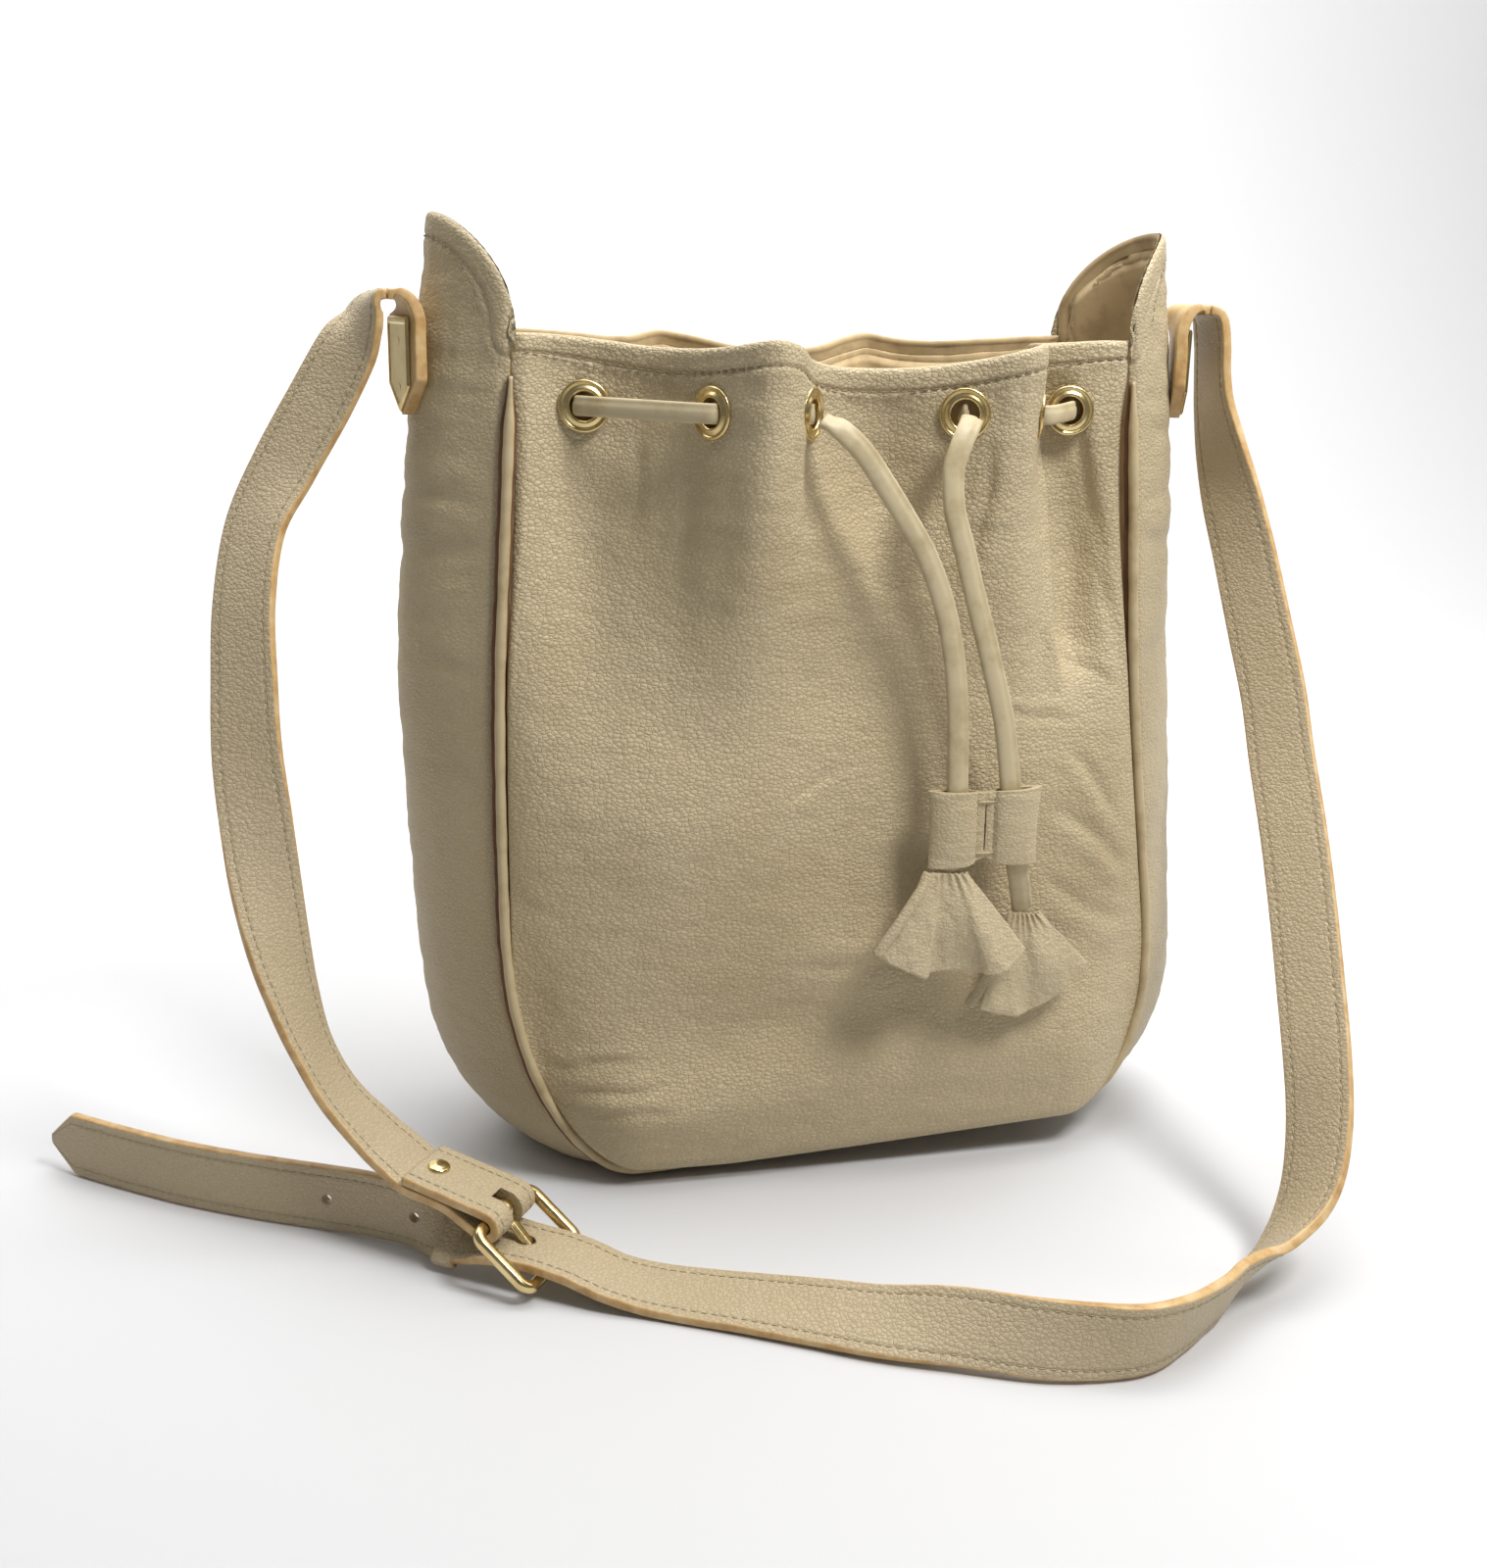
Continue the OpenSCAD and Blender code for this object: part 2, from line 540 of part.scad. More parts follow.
// Flat strap with square edges: stations hold a place, a direction across and a width
module ribbon(stations, count, thick) {
    places = [for (s = stations) s[0]];
    across = [for (s = stations) s[1]];
    widths = [for (s = stations) s[2]];
    rings = [for (i = [0 : count])
        let(s = i / count, e = 0.002, tangent = unit(along(places, s + e) - along(places, s - e)),
            w0 = along(across, s), w = unit(w0 - tangent * (w0 * tangent)),
            n = cross(tangent, w), half = along(widths, s) / 2, p = along(places, s))
        [p - w * half - n * thick / 2, p + w * half - n * thick / 2,
         p + w * half + n * thick / 2, p - w * half + n * thick / 2]];
    pts = [for (r = rings) for (p = r) p];
    walls = [for (i = [0 : count - 1]) for (k = [0 : 3])
        let(a = i * 4 + k, b = i * 4 + (k + 1) % 4) each [[a, b, b + 4], [a, b + 4, a + 4]]];
    polyhedron(points = pts, faces = concat(walls, [[3, 2, 1, 0]],
        [[count * 4, count * 4 + 1, count * 4 + 2, count * 4 + 3]]));
}

function wide(run, w) = [for (s = run) [s[0], s[1], w]];

module strap_tab() {
    run = [for (k = [0 : len(tab_run) - 1])
        [tab_run[k][0], tab_run[k][1], k < len(tab_tip_widths) ? tab_tip_widths[k] : strap_w]];
    color(tan) ribbon(run, 40, tab_t);
}

module strap_tab_left() {
    strap_tab();
}

module strap_tab_right() {
    mirror([1, 0, 0]) strap_tab();
}

// Pointed plate on the outer face of a strap end, its face towards +Z
module plate_shape() {
    w = plate_size[0] / 2;
    h = plate_size[1] / 2;
    polygon([[-h, -w], [h - plate_point, -w], [h, 0], [h - plate_point, w], [-h, w]]);
}

module plate_frame() {
    translate(plate_mid) rotate([0, 0, plate_turn]) rotate([0, 90, 180]) children();
}

module plate() {
    color(gold) plate_frame() translate([0, 0, 0.15]) difference() {
        linear_extrude(plate_size[2]) plate_shape();
        for (z = plate_rivet_z) translate([-z, 0, -1]) cylinder(r = rivet_r + 0.1, h = 5, $fn = 32);
    }
}

module plate_left() {
    plate();
}

module plate_right() {
    mirror([1, 0, 0]) plate();
}

module plate_rivets() {
    color(gold) plate_frame() for (z = plate_rivet_z) translate([-z, 0, 0.2]) {
        cylinder(r = rivet_r, h = plate_size[2] - 0.3, $fn = 32);
    }
}

module plate_rivets_left() {
    plate_rivets();
}

module plate_rivets_right() {
    mirror([1, 0, 0]) plate_rivets();
}

// The short strap turns round the hinge bar and is riveted back on itself
function fold_point(a, reach) = hinge_at + up_dir * fold_r * sin(a) - fold_dir * fold_r * cos(a)
    + fold_dir * reach;
function upper_point(reach) = fold_point(90, reach);

module strap_short() {
    lower = [for (r = fold_rise) [fold_point(-90, r[0]) + up_dir * r[1], bar_dir]];
    turn = [for (a = [-68 : 22.5 : 68]) [fold_point(a, 0), bar_dir]];
    upper = [for (r = [1, 8, 16, 24, fold_len]) [upper_point(r), bar_dir]];
    run = concat(short_run, lower, turn, upper);
    color(cream) difference() {
        ribbon(wide(run, strap_w), 96, strap_t);
        slot_cut();
    }
}

module buckle_space() {
    multmatrix([[frame_dir[0], bar_dir[0], frame_up[0], hinge_at[0]],
        [frame_dir[1], bar_dir[1], frame_up[1], hinge_at[1]],
        [frame_dir[2], bar_dir[2], frame_up[2], hinge_at[2]], [0, 0, 0, 1]]) children();
}

module slot_cut() {
    buckle_space() translate([4, 0, 0]) cube([20, slot_w, 20], center = true);
}

module strap_long() {
    run = concat(wide(long_run, strap_w), [[tail_tip, [0, 0, 1], 3]]);
    color(cream) difference() {
        ribbon(run, 150, strap_t);
        buckle_space() rotate([0, prong_slope, 0]) translate([prong_hole_x, 0, 0])
            rotate([0, 90, 0]) cylinder(r = 3.2, h = 16, center = true, $fn = 32);
        for (p = spare_holes) at(p, spare_hole_dir)
            cylinder(r = strap_hole_r, h = 12, center = true, $fn = 32);
    }
}

module strap_keeper() {
    t = keeper_run;
    w = unit(keeper_up - t * (t * keeper_up));
    n = cross(t, w);
    color(cream)
        multmatrix([[t[0], n[0], w[0], keeper_at[0]], [t[1], n[1], w[1], keeper_at[1]],
            [t[2], n[2], w[2], keeper_at[2]], [0, 0, 0, 1]])
        difference() {
            cube(keeper_size, center = true);
            cube(keeper_hole, center = true);
        }
}

// Domed rivet through the folded-back end
module buckle_rivet() {
    top = strap_t / 2;
    color(gold) at(upper_point(rivet_reach) + up_dir * top, up_dir) rotate_extrude($fn = 48)
        polygon([[0, -top], [rivet_r, -top], [rivet_r, 0.2], [dome_r, 0.2], [dome_r, 0.6],
            [dome_r - 0.8, 1.5], [dome_r - 2.2, 2.1], [0, 2.3]]);
}

// Rectangular wire frame hinged in the fold of the short strap
module buckle_frame() {
    w = buckle_w / 2;
    r = buckle_corner_r;
    color(gold) buckle_space() {
        for (x = [0, buckle_l]) translate([x, 0, 0]) rotate([90, 0, 0])
            cylinder(r = wire_r, h = buckle_w - 2 * r, center = true, $fn = 32);
        for (s = [-1, 1]) translate([buckle_l / 2, s * w, 0]) rotate([0, 90, 0])
            cylinder(r = wire_r, h = buckle_l - 2 * r, center = true, $fn = 32);
        for (c = [[buckle_l - r, w - r, 0], [r, w - r, 90], [r, r - w, 180],
                [buckle_l - r, r - w, 270]])
            translate([c[0], c[1], 0]) rotate([0, 0, c[2]])
                rotate_extrude(angle = 90, $fn = 48) translate([r, 0]) circle(r = wire_r, $fn = 32);
    }
}

module buckle_prong() {
    color(gold) buckle_space() difference() {
        union() {
            rotate([90, 0, 0]) cylinder(r = wire_r + 2, h = prong_w, center = true, $fn = 32);
            rotate([0, prong_slope, 0]) translate([0, -prong_w / 2, -prong_t / 2])
                cube([buckle_l + 2, prong_w, prong_t]);
        }
        rotate([90, 0, 0]) cylinder(r = wire_r + 0.3, h = prong_w + 2, center = true, $fn = 32);
    }
}

front_panel();
back_panel();
gusset();
front_piping();
back_piping();
lining_front();
lining_back();
lining_gusset();
eyelets_front();
eyelets_back();
washers_front();
washers_back();
drawstring_mouth();
drawstring_tail_left();
drawstring_tail_right();
cord_slide();
slide_staples();
tassel_left();
tassel_right();
strap_tab_left();
strap_tab_right();
plate_left();
plate_right();
plate_rivets_left();
plate_rivets_right();
strap_short();
strap_long();
strap_keeper();
buckle_rivet();
buckle_frame();
buckle_prong();
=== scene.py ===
"""Looks of the drawstring bucket bag: leather body, trim, lace, tassels, strap and buckle."""

import math

import bmesh
import bpy
import numpy as np
from mathutils import Matrix, Vector, noise


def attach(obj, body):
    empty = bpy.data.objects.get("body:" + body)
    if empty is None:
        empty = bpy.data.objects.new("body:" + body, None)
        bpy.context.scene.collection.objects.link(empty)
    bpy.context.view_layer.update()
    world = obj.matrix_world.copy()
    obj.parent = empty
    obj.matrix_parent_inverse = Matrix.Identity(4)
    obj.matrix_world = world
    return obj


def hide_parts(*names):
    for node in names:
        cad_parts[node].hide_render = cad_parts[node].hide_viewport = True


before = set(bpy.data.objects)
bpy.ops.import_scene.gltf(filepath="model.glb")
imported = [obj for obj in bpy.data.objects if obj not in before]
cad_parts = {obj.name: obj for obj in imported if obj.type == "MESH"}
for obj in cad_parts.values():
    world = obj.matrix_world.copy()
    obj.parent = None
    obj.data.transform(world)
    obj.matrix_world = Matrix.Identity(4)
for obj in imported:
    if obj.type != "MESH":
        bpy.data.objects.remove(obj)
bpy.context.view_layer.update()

MM = 0.001

# ---------------------------------------------------------------- camera

CAMERA_PLACE = (-183.7, -660.1, 334.2)
CAMERA_HEADING = 13.83
CAMERA_PITCH = 15.72
CAMERA_ROLL = 1.23
CAMERA_SENSOR = 36
CAMERA_LENS = 40.5


def place_camera():
    data = bpy.data.cameras.new("camera")
    data.sensor_fit = "VERTICAL"
    data.sensor_height = CAMERA_SENSOR
    data.lens = CAMERA_LENS
    camera = bpy.data.objects.new("camera", data)
    bpy.context.scene.collection.objects.link(camera)
    heading = Matrix.Rotation(math.radians(-CAMERA_HEADING), 4, "Z")
    pitch = Matrix.Rotation(math.radians(90 - CAMERA_PITCH), 4, "X")
    roll = Matrix.Rotation(math.radians(CAMERA_ROLL), 4, "Z")
    camera.matrix_world = Matrix.Translation(Vector(CAMERA_PLACE) * MM) @ heading @ pitch @ roll
    bpy.context.scene.camera = camera


# ---------------------------------------------------------------- numbers of the bag, in mm

RIM_Z = 318
EAR_H = 40
EAR_Z = RIM_Z + EAR_H
# Half widths of the bag at its seams and at its side creases
SEAM_HALF_TOP = 115
SEAM_HALF_LOW = 128
CREASE_HALF_LOW = 158
CREASE_HALF_TOP = 140
SEAM_Y_LOW = 50
SEAM_Y_TOP = 37
BELLY = 22
BELLY_Z = 100
# How far the bag leans sideways, and how its bottom lifts off the floor towards the right
SLUMP = 16
SLUMP_TOP = 210
LEAN_FROM = 85
LEAN_WIDE = 215
LEAN_LIFT = 13
LEAN_TOP = 92
# How far the low part of a panel rolls out and hangs over its seam
ROLL_OUT = 9.0
ROLL_SAG = 3.2
# Width and height of the rounded low corners
SEAM_CORNER = (42, 85)
CREASE_CORNER = (45, 70)
SEAM_FLOOR = 3.2
CREASE_POWER = 1.8
EAR_POWER = 2.4
SIDE_ROWS = 14
CORNER_ROWS = 8
FLOOR_ROWS = 8
GUSSET_ROWS = 2 * (SIDE_ROWS + CORNER_ROWS) + FLOOR_ROWS
LEATHER_T = 1.6
LINING_T = 0.8
LINING_GAP = 1.7
LINING_STEP = 2.0
HEM_WIDTH = 11
HEM_STITCH = 8.5
PIPING_R = 1.9
PIPING_RINGS = 620
EYELET_Z = 293
EYELET_BORE_R = 5
EYELET_HOLE_R = 6.3
EYELET_FLANGE_R = 9.2
# Places of the lace inside, in and outside an eyelet, and the size of its tails
LACE_IN = -6
LACE_MID = -1
LACE_OUT = 4.6
LACE_W = 8.0
LACE_T = 3.6
STRAP_W = 25
STRAP_T = 3.4
STRAP_LINE = 3.4
TAB_T = 4.4
WIRE_R = 2.2
BUCKLE_W = 35
BUCKLE_L = 26

FRONT_RIM = [(-115, -37, 318), (-100, -33, 317.5), (-85, -34, 316), (-68, -43, 314),
             (-54, -58, 314), (-44, -74, 316), (-33, -82, 318), (-22, -74, 316),
             (-14, -61, 311), (0, -52, 308), (22, -52, 308), (44, -58, 311), (60, -66, 315),
             (70, -62, 317), (75, -48, 317), (79, -34, 316.5), (90, -33, 317),
             (103, -36, 318), (115, -37, 318)]
BACK_RIM = [(115, 37, 318), (100, 34, 317.5), (85, 36, 316.5), (70, 45, 315), (58, 60, 315),
            (44, 70, 317), (30, 61, 315), (16, 49, 312), (0, 45, 311), (-16, 49, 312),
            (-30, 61, 315), (-44, 70, 317), (-58, 60, 315), (-70, 45, 315), (-85, 36, 316.5),
            (-100, 34, 317.5), (-115, 37, 318)]
FRONT_EYELETS = (0.095, 0.245, 0.435, 0.61, 0.765, 0.9)
BACK_EYELETS = (0.1, 0.25, 0.42, 0.58, 0.75, 0.9)

# Routes of the drawstring's tails, as in the CAD model
TAIL_LEFT = [(-13, -70, 291), (-8, -73, 288.5), (0, -75, 281), (8, -76, 270), (16, -77, 258),
             (24, -77.5, 245), (31, -78, 228), (35.5, -78.5, 210), (38, -79, 190),
             (39, -79.5, 170), (39.5, -80, 150), (39, -80.3, 138), (37.5, -80.8, 128)]
TAIL_RIGHT = [(43, -64, 291), (40.5, -68, 288.5), (37, -71, 283), (34, -73, 274),
              (34.5, -74.5, 261), (38.5, -75.5, 247), (43, -76.5, 231), (47.5, -77.5, 216),
              (52, -78.5, 200), (56, -79, 185), (58.5, -79.5, 170), (60.3, -80, 156),
              (61.8, -80.3, 144), (63.7, -80, 132), (67.5, -76.5, 120), (71, -71.6, 110)]

# Strap stations, as in the CAD model: a place and a direction across the strap
SHORT_RUN = [((-156.1, -5, 329.5), (0, -1, 0)), ((-159, -5, 329), (0.05, -0.99, 0)),
             ((-162.3, -5.2, 325.5), (0.25, -0.95, -0.1)),
             ((-165, -6, 319), (0.45, -0.85, -0.25)), ((-170, -6, 310), (0.62, -0.62, -0.45)),
             ((-180, -5, 292), (0.7, -0.52, -0.5)), ((-193, -6, 270), (0.76, -0.54, -0.36)),
             ((-204, -12, 249), (0.78, -0.62, -0.05)), ((-209, -23, 223), (0.82, -0.56, 0.1)),
             ((-210, -33, 196), (0.88, -0.45, 0.1)), ((-210, -40, 173), (0.95, -0.3, 0.08)),
             ((-208, -46, 150), (0.99, -0.05, 0.02)), ((-206, -50, 130), (0.96, 0.25, -0.08)),
             ((-203, -54, 110), (0.84, 0.5, -0.18)), ((-199, -57, 91), (0.68, 0.68, -0.26)),
             ((-193, -61, 71), (0.53, 0.81, -0.24)), ((-184, -67, 54), (0.48, 0.87, -0.1)),
             ((-172, -74, 41), (0.49, 0.87, 0.05)), ((-164, -80, 34.5), (0.56, 0.82, 0.06))]
LONG_RUN = [((156.1, -5, 329.5), (0, -1, 0)), ((159, -5, 329), (0, -1, 0)),
            ((162.2, -5.7, 325.5), (0, -1, 0)),
            ((163.5, -7, 316), (0, -1, 0)), ((164, -8, 305), (0, -1, 0.05)),
            ((165, -10, 292), (0.08, -0.99, 0.1)), ((167, -15, 276), (0.3, -0.95, 0.1)),
            ((170, -22, 257), (0.52, -0.84, 0.05)), ((173, -31, 236), (0.6, -0.78, 0.1)),
            ((175, -44, 210), (0.65, -0.75, 0.1)), ((176, -57, 187), (0.64, -0.76, 0.05)),
            ((175, -70, 164), (0.62, -0.78, 0)), ((173, -87, 139), (0.61, -0.79, 0)),
            ((170, -104, 114), (0.6, -0.8, 0)), ((166, -121, 90), (0.58, -0.81, 0.05)),
            ((162, -136, 70), (0.55, -0.82, 0.12)), ((158, -148, 52), (0.48, -0.84, 0.2)),
            ((152, -158, 36), (0.38, -0.87, 0.3)), ((144, -165, 25), (0.2, -0.9, 0.38)),
            ((133, -171.5, 17.8), (-0.1, -0.88, 0.45)), ((121, -177, 13.4), (-0.35, -0.78, 0.5)),
            ((108, -187, 13.6), (-0.46, -0.66, 0.58)), ((95, -197, 13.8), (-0.42, -0.58, 0.7)),
            ((80, -206, 13.8), (-0.3, -0.38, 0.87)), ((66, -211, 13.8), (-0.2, -0.1, 0.97)),
            ((52, -210, 13.5), (-0.1, 0.12, 0.99)), ((31, -203, 13), (0, 0.4, 0.92)),
            ((8, -190, 12), (0.12, 0.62, 0.78)), ((-14, -177, 8.8), (0.24, 0.82, 0.5)),
            ((-31, -166, 7.2), (0.27, 0.88, 0.38)), ((-52, -153, 5.5), (0.3, 0.92, 0.24)),
            ((-68, -144, 4.5), (0.35, 0.92, 0.18)), ((-83, -136, 4.5), (0.42, 0.9, 0.12)),
            ((-95, -130, 6.5), (0.5, 0.86, 0.06)), ((-105.5, -123.5, 9.8), (0.58, 0.81, 0.04)),
            ((-113.5, -118.5, 11.4), (0.61, 0.79, 0.04)), ((-121, -113, 11.6), (0.61, 0.79, 0.04)),
            ((-131, -106, 11.6), (0.61, 0.77, 0.14)), ((-139, -100.2, 12), (0.52, 0.7, 0.45)),
            ((-145.5, -96, 12.6), (0.4, 0.56, 0.72)), ((-152, -91.5, 13.4), (0.2, 0.3, 0.93)),
            ((-160, -86, 13.7), (0, 0, 1)), ((-175, -75, 13.6), (0, 0, 1)),
            ((-190, -66, 13.2), (0, 0, 1)), ((-215, -53, 13.2), (0, 0, 1)),
            ((-240, -38, 13.2), (0, 0, 1)), ((-262, -22, 13.2), (0, 0, 1)),
            ((-282, -6, 13.2), (0, 0, 1)), ((-291, 2, 13.2), (0, 0, 1))]
TAB_RUN = [((-149, -7.5, 288), (0.34, -0.94, 0)), ((-149, -7.4, 294.3), (0.34, -0.94, 0)),
           ((-149, -7.3, 300.5), (0.34, -0.94, 0)), ((-149, -7.1, 307), (0.34, -0.94, 0)),
           ((-149, -6.8, 314), (0.34, -0.94, 0)), ((-149, -6.4, 320.5), (0.34, -0.94, 0)),
           ((-149.7, -5.8, 326), (0.2, -0.98, 0)), ((-152, -5.1, 329.1), (0.03, -1, 0)),
           ((-155.4, -5, 329.5), (0, -1, 0))]
PLATE_MID = (-151.4, -7.9, 305.5)
PLATE_TURN = 20
PLATE_SIZE = (17, 33, 1.2)
PLATE_POINT = 9

HINGE_AT = np.array((-130.5, -106, 23.0))
BAR_DIR = np.array((0.607, 0.788, 0.042))
FRAME_DIR = np.array((0.635, -0.442, -0.635))
FOLD_DIR = np.array((-0.78, 0.6, 0.17))
FOLD_R = WIRE_R + 0.5 + STRAP_T / 2
FOLD_LEN = 34
FOLD_RISE = [(34, 5.1), (24, 5.1), (16, 4.8), (8, 2.2), (1, 0)]
KEEPER_AT = (-145.5, -96, 12.6)
KEEPER_RUN = (-0.82, 0.57, 0.06)
KEEPER_UP = (0.4, 0.56, 0.72)
SPARE_HOLES = ((-159, -86.7, 13.7), (-189, -66.6, 13.2))
SPARE_HOLE_DIR = (0.52, 0.85, 0)
PRONG_SLOPE = 8
PRONG_HOLE_X = 15.4
RIVET_REACH = 27
SLIDE_AT = (50.2, -80, 145.5)
SLIDE_SIZE = (43, 9, 28)
SLIDE_TILT = -2
SLIDE_BAND = 3.4
SLIDE_WALL = 1.6

# ---------------------------------------------------------------- small helpers


def unit(v):
    v = np.asarray(v, float)
    return v / np.maximum(np.linalg.norm(v, axis=-1, keepdims=True), 1e-12)


def mix(a, b, t):
    return a + (b - a) * t


def smooth(a, b, t):
    k = np.clip((np.asarray(t, float) - a) / (b - a), 0, 1)
    return k * k * (3 - 2 * k)


def bump(t, centre, width):
    return np.exp(-(((t - centre) / width) ** 2))


def along(points, s):
    """Points at shares s of a smooth curve through a list of points, as in the CAD model."""
    p = np.asarray(points, float)
    if p.ndim == 1:
        p = p[:, None]
    last = len(p) - 1
    q = np.clip(np.asarray(s, float), 0, 1) * last
    i = np.minimum(np.floor(q), last - 1).astype(int)
    t = (q - i)[..., None]
    e = np.vstack([2 * p[0] - p[1], p, 2 * p[-1] - p[-2]])
    a, b, c, d = e[i], e[i + 1], e[i + 2], e[i + 3]
    return 0.5 * (2 * b + (c - a) * t + (2 * a - 5 * b + 4 * c - d) * t * t
                  + (3 * b - a - 3 * c + d) * t * t * t)


def run_of(points):
    """Distance along a path at each of its points."""
    return np.concatenate([[0], np.cumsum(np.linalg.norm(np.diff(points, axis=0), axis=1))])


def even(points, step, samples=2000):
    """Shares of the curve at which its points are one step apart along it."""
    s = np.linspace(0, 1, samples)
    p = along(points, s)
    run = run_of(p)
    count = max(2, int(round(run[-1] / step)))
    return np.interp(np.linspace(0, run[-1], count + 1), run, s)


def noise_at(points, scale, seed=0.0):
    """Smooth noise from -1 to 1 at points in mm, with lumps of a size in mm on each axis."""
    flat = np.asarray(points, float).reshape(-1, 3) / np.asarray(scale, float) + seed
    out = np.array([noise.noise(Vector(p)) for p in flat.tolist()])
    return out.reshape(np.asarray(points).shape[:-1])


def add_mesh(name, points, faces, materials, face_material=None, merge=0.0, flat=False):
    mesh = bpy.data.meshes.new(name)
    mesh.from_pydata((np.asarray(points, float).reshape(-1, 3) * MM).tolist(), [], faces)
    for material in materials:
        mesh.materials.append(material)
    if face_material is not None:
        mesh.polygons.foreach_set("material_index", np.asarray(face_material, np.int32))
    mesh.polygons.foreach_set("use_smooth", [not flat] * len(mesh.polygons))
    if merge:
        work = bmesh.new()
        work.from_mesh(mesh)
        bmesh.ops.remove_doubles(work, verts=work.verts, dist=merge * MM)
        bmesh.ops.recalc_face_normals(work, faces=work.faces)
        work.to_mesh(mesh)
        work.free()
    mesh.update()
    piece = bpy.data.objects.new(name, mesh)
    bpy.context.scene.collection.objects.link(piece)
    return piece


def seat(piece, body, slot, *nodes):
    """Puts a piece under its body's empty and hides the CAD nodes that it stands for; slot is not
    used.
    """
    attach(piece, body)
    if nodes:
        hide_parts(*nodes)
    return piece


def grid_faces(rows, cols, first=0, flip=False, wrap=False):
    across = cols if wrap else cols - 1
    i, j = np.meshgrid(np.arange(rows - 1), np.arange(across), indexing="ij")
    a = first + i * cols + j
    b = first + i * cols + (j + 1) % cols
    quads = np.stack([a, b, b + cols, a + cols], -1).reshape(-1, 4)
    return quads[:, ::-1] if flip else quads


def edge_steps(length, step, fine=(0, 0.12, 0.35, 0.7, 1.2)):
    """Places from 0 to length, close together at both ends, where an edge is round."""
    middle = np.linspace(fine[-1], length - fine[-1], max(3, int(round(length / step))))
    return np.concatenate([fine[:-1], middle, length - np.array(fine[:-1])[::-1]])


def grid_normals(points):
    """Normals of a grid of points, from its columns and rows."""
    dv = np.gradient(points, axis=0)
    du = np.gradient(points, axis=1)
    return unit(np.cross(du, dv))


def outward(points, face):
    """Normals of a panel's grid, turned out of the bag."""
    n = grid_normals(points)
    return n * np.sign((n[..., 1:2] * face).mean())


def edge_grid(rows, cols):
    """Steps from each point of a grid to the nearest edge of the grid."""
    i, j = np.arange(rows)[:, None], np.arange(cols)[None, :]
    return np.minimum(np.minimum(i, rows - 1 - i), np.minimum(j, cols - 1 - j)).astype(float)


def shell(name, outer, thick, edge_distance, materials, holes=None, inner_material=0):
    """A sheet of leather under a grid of outer points, with round edges and cut-away holes."""
    normals = grid_normals(outer)
    rounding = np.clip(edge_distance / (0.5 * thick), 0, 1)
    half = 0.5 * thick * np.sqrt(np.clip(1 - (1 - rounding) ** 2, 0, 1))
    middle = outer - normals * (0.5 * thick)[..., None]
    top = middle + normals * half[..., None]
    low = middle - normals * half[..., None]
    rows, cols = outer.shape[:2]
    count = rows * cols
    face = grid_faces(rows, cols)
    keep = np.ones(len(face), bool)
    if holes is not None:
        keep = ~holes.reshape(-1)[face].any(axis=1)
    upper = face[keep]
    lower = face[keep][:, ::-1] + count
    walls = hole_walls(upper, face, keep, count)
    faces = upper.tolist() + lower.tolist() + walls
    index = [0] * len(upper) + [inner_material] * (len(lower) + len(walls))
    return add_mesh(name, np.concatenate([top.reshape(-1, 3), low.reshape(-1, 3)]), faces,
                    materials, index, merge=0.02)


def hole_walls(upper, face, keep, count):
    """Quads that join the two sides of the sheet round each hole."""
    if keep.all():
        return []
    cut = set()
    for quad in face[~keep].tolist():
        for k in range(4):
            cut.add((quad[(k + 1) % 4], quad[k]))
    walls = []
    for quad in upper.tolist():
        for k in range(4):
            a, b = quad[k], quad[(k + 1) % 4]
            if (a, b) in cut:
                walls.append([b, a, a + count, b + count])
    return walls


def sweep(name, centre, across, normal, profile, materials, parts=None, merge=0.0):
    """A closed profile of (across, normal) points carried along a path, or one for each ring."""
    profile = np.asarray(profile, float)
    if profile.ndim == 2:
        profile = np.broadcast_to(profile, (len(centre),) + profile.shape)
    rings = (centre[:, None] + profile[..., :1] * across[:, None]
             + profile[..., 1:] * normal[:, None])
    rows, cols = rings.shape[:2]
    face = grid_faces(rows, cols, wrap=True)
    faces = face.tolist()
    index = None if parts is None else np.tile(np.asarray(parts), rows - 1).tolist()
    faces += [list(range(cols))[::-1], list(range((rows - 1) * cols, rows * cols))]
    if index is not None:
        index += [max(parts)] * 2
    return add_mesh(name, rings.reshape(-1, 3), faces, materials, index, merge=merge)


def circle(count):
    """Cosines and sines of evenly spaced angles."""
    a = np.linspace(0, 2 * math.pi, count, endpoint=False)
    return np.cos(a), np.sin(a)


def squared(values, power):
    """Bends the sines of a circle towards a square."""
    return np.sign(values) * np.abs(values) ** power


def turn_of(degrees, axis):
    return np.array(Matrix.Rotation(math.radians(degrees), 3, axis))


def soften(piece, width, segments, angle):
    """Rounds the sharp edges of a piece."""
    bevel = piece.modifiers.new("soft_edges", "BEVEL")
    bevel.width = width * MM
    bevel.segments = segments
    bevel.angle_limit = math.radians(angle)


def tangents(points):
    return unit(np.gradient(np.asarray(points, float), axis=0))


def frames(points, across):
    """Unit directions across and normal to a path."""
    t = tangents(points)
    w = np.broadcast_to(np.asarray(across, float), t.shape)
    w = unit(w - t * (w * t).sum(-1, keepdims=True))
    return w, np.cross(t, w)


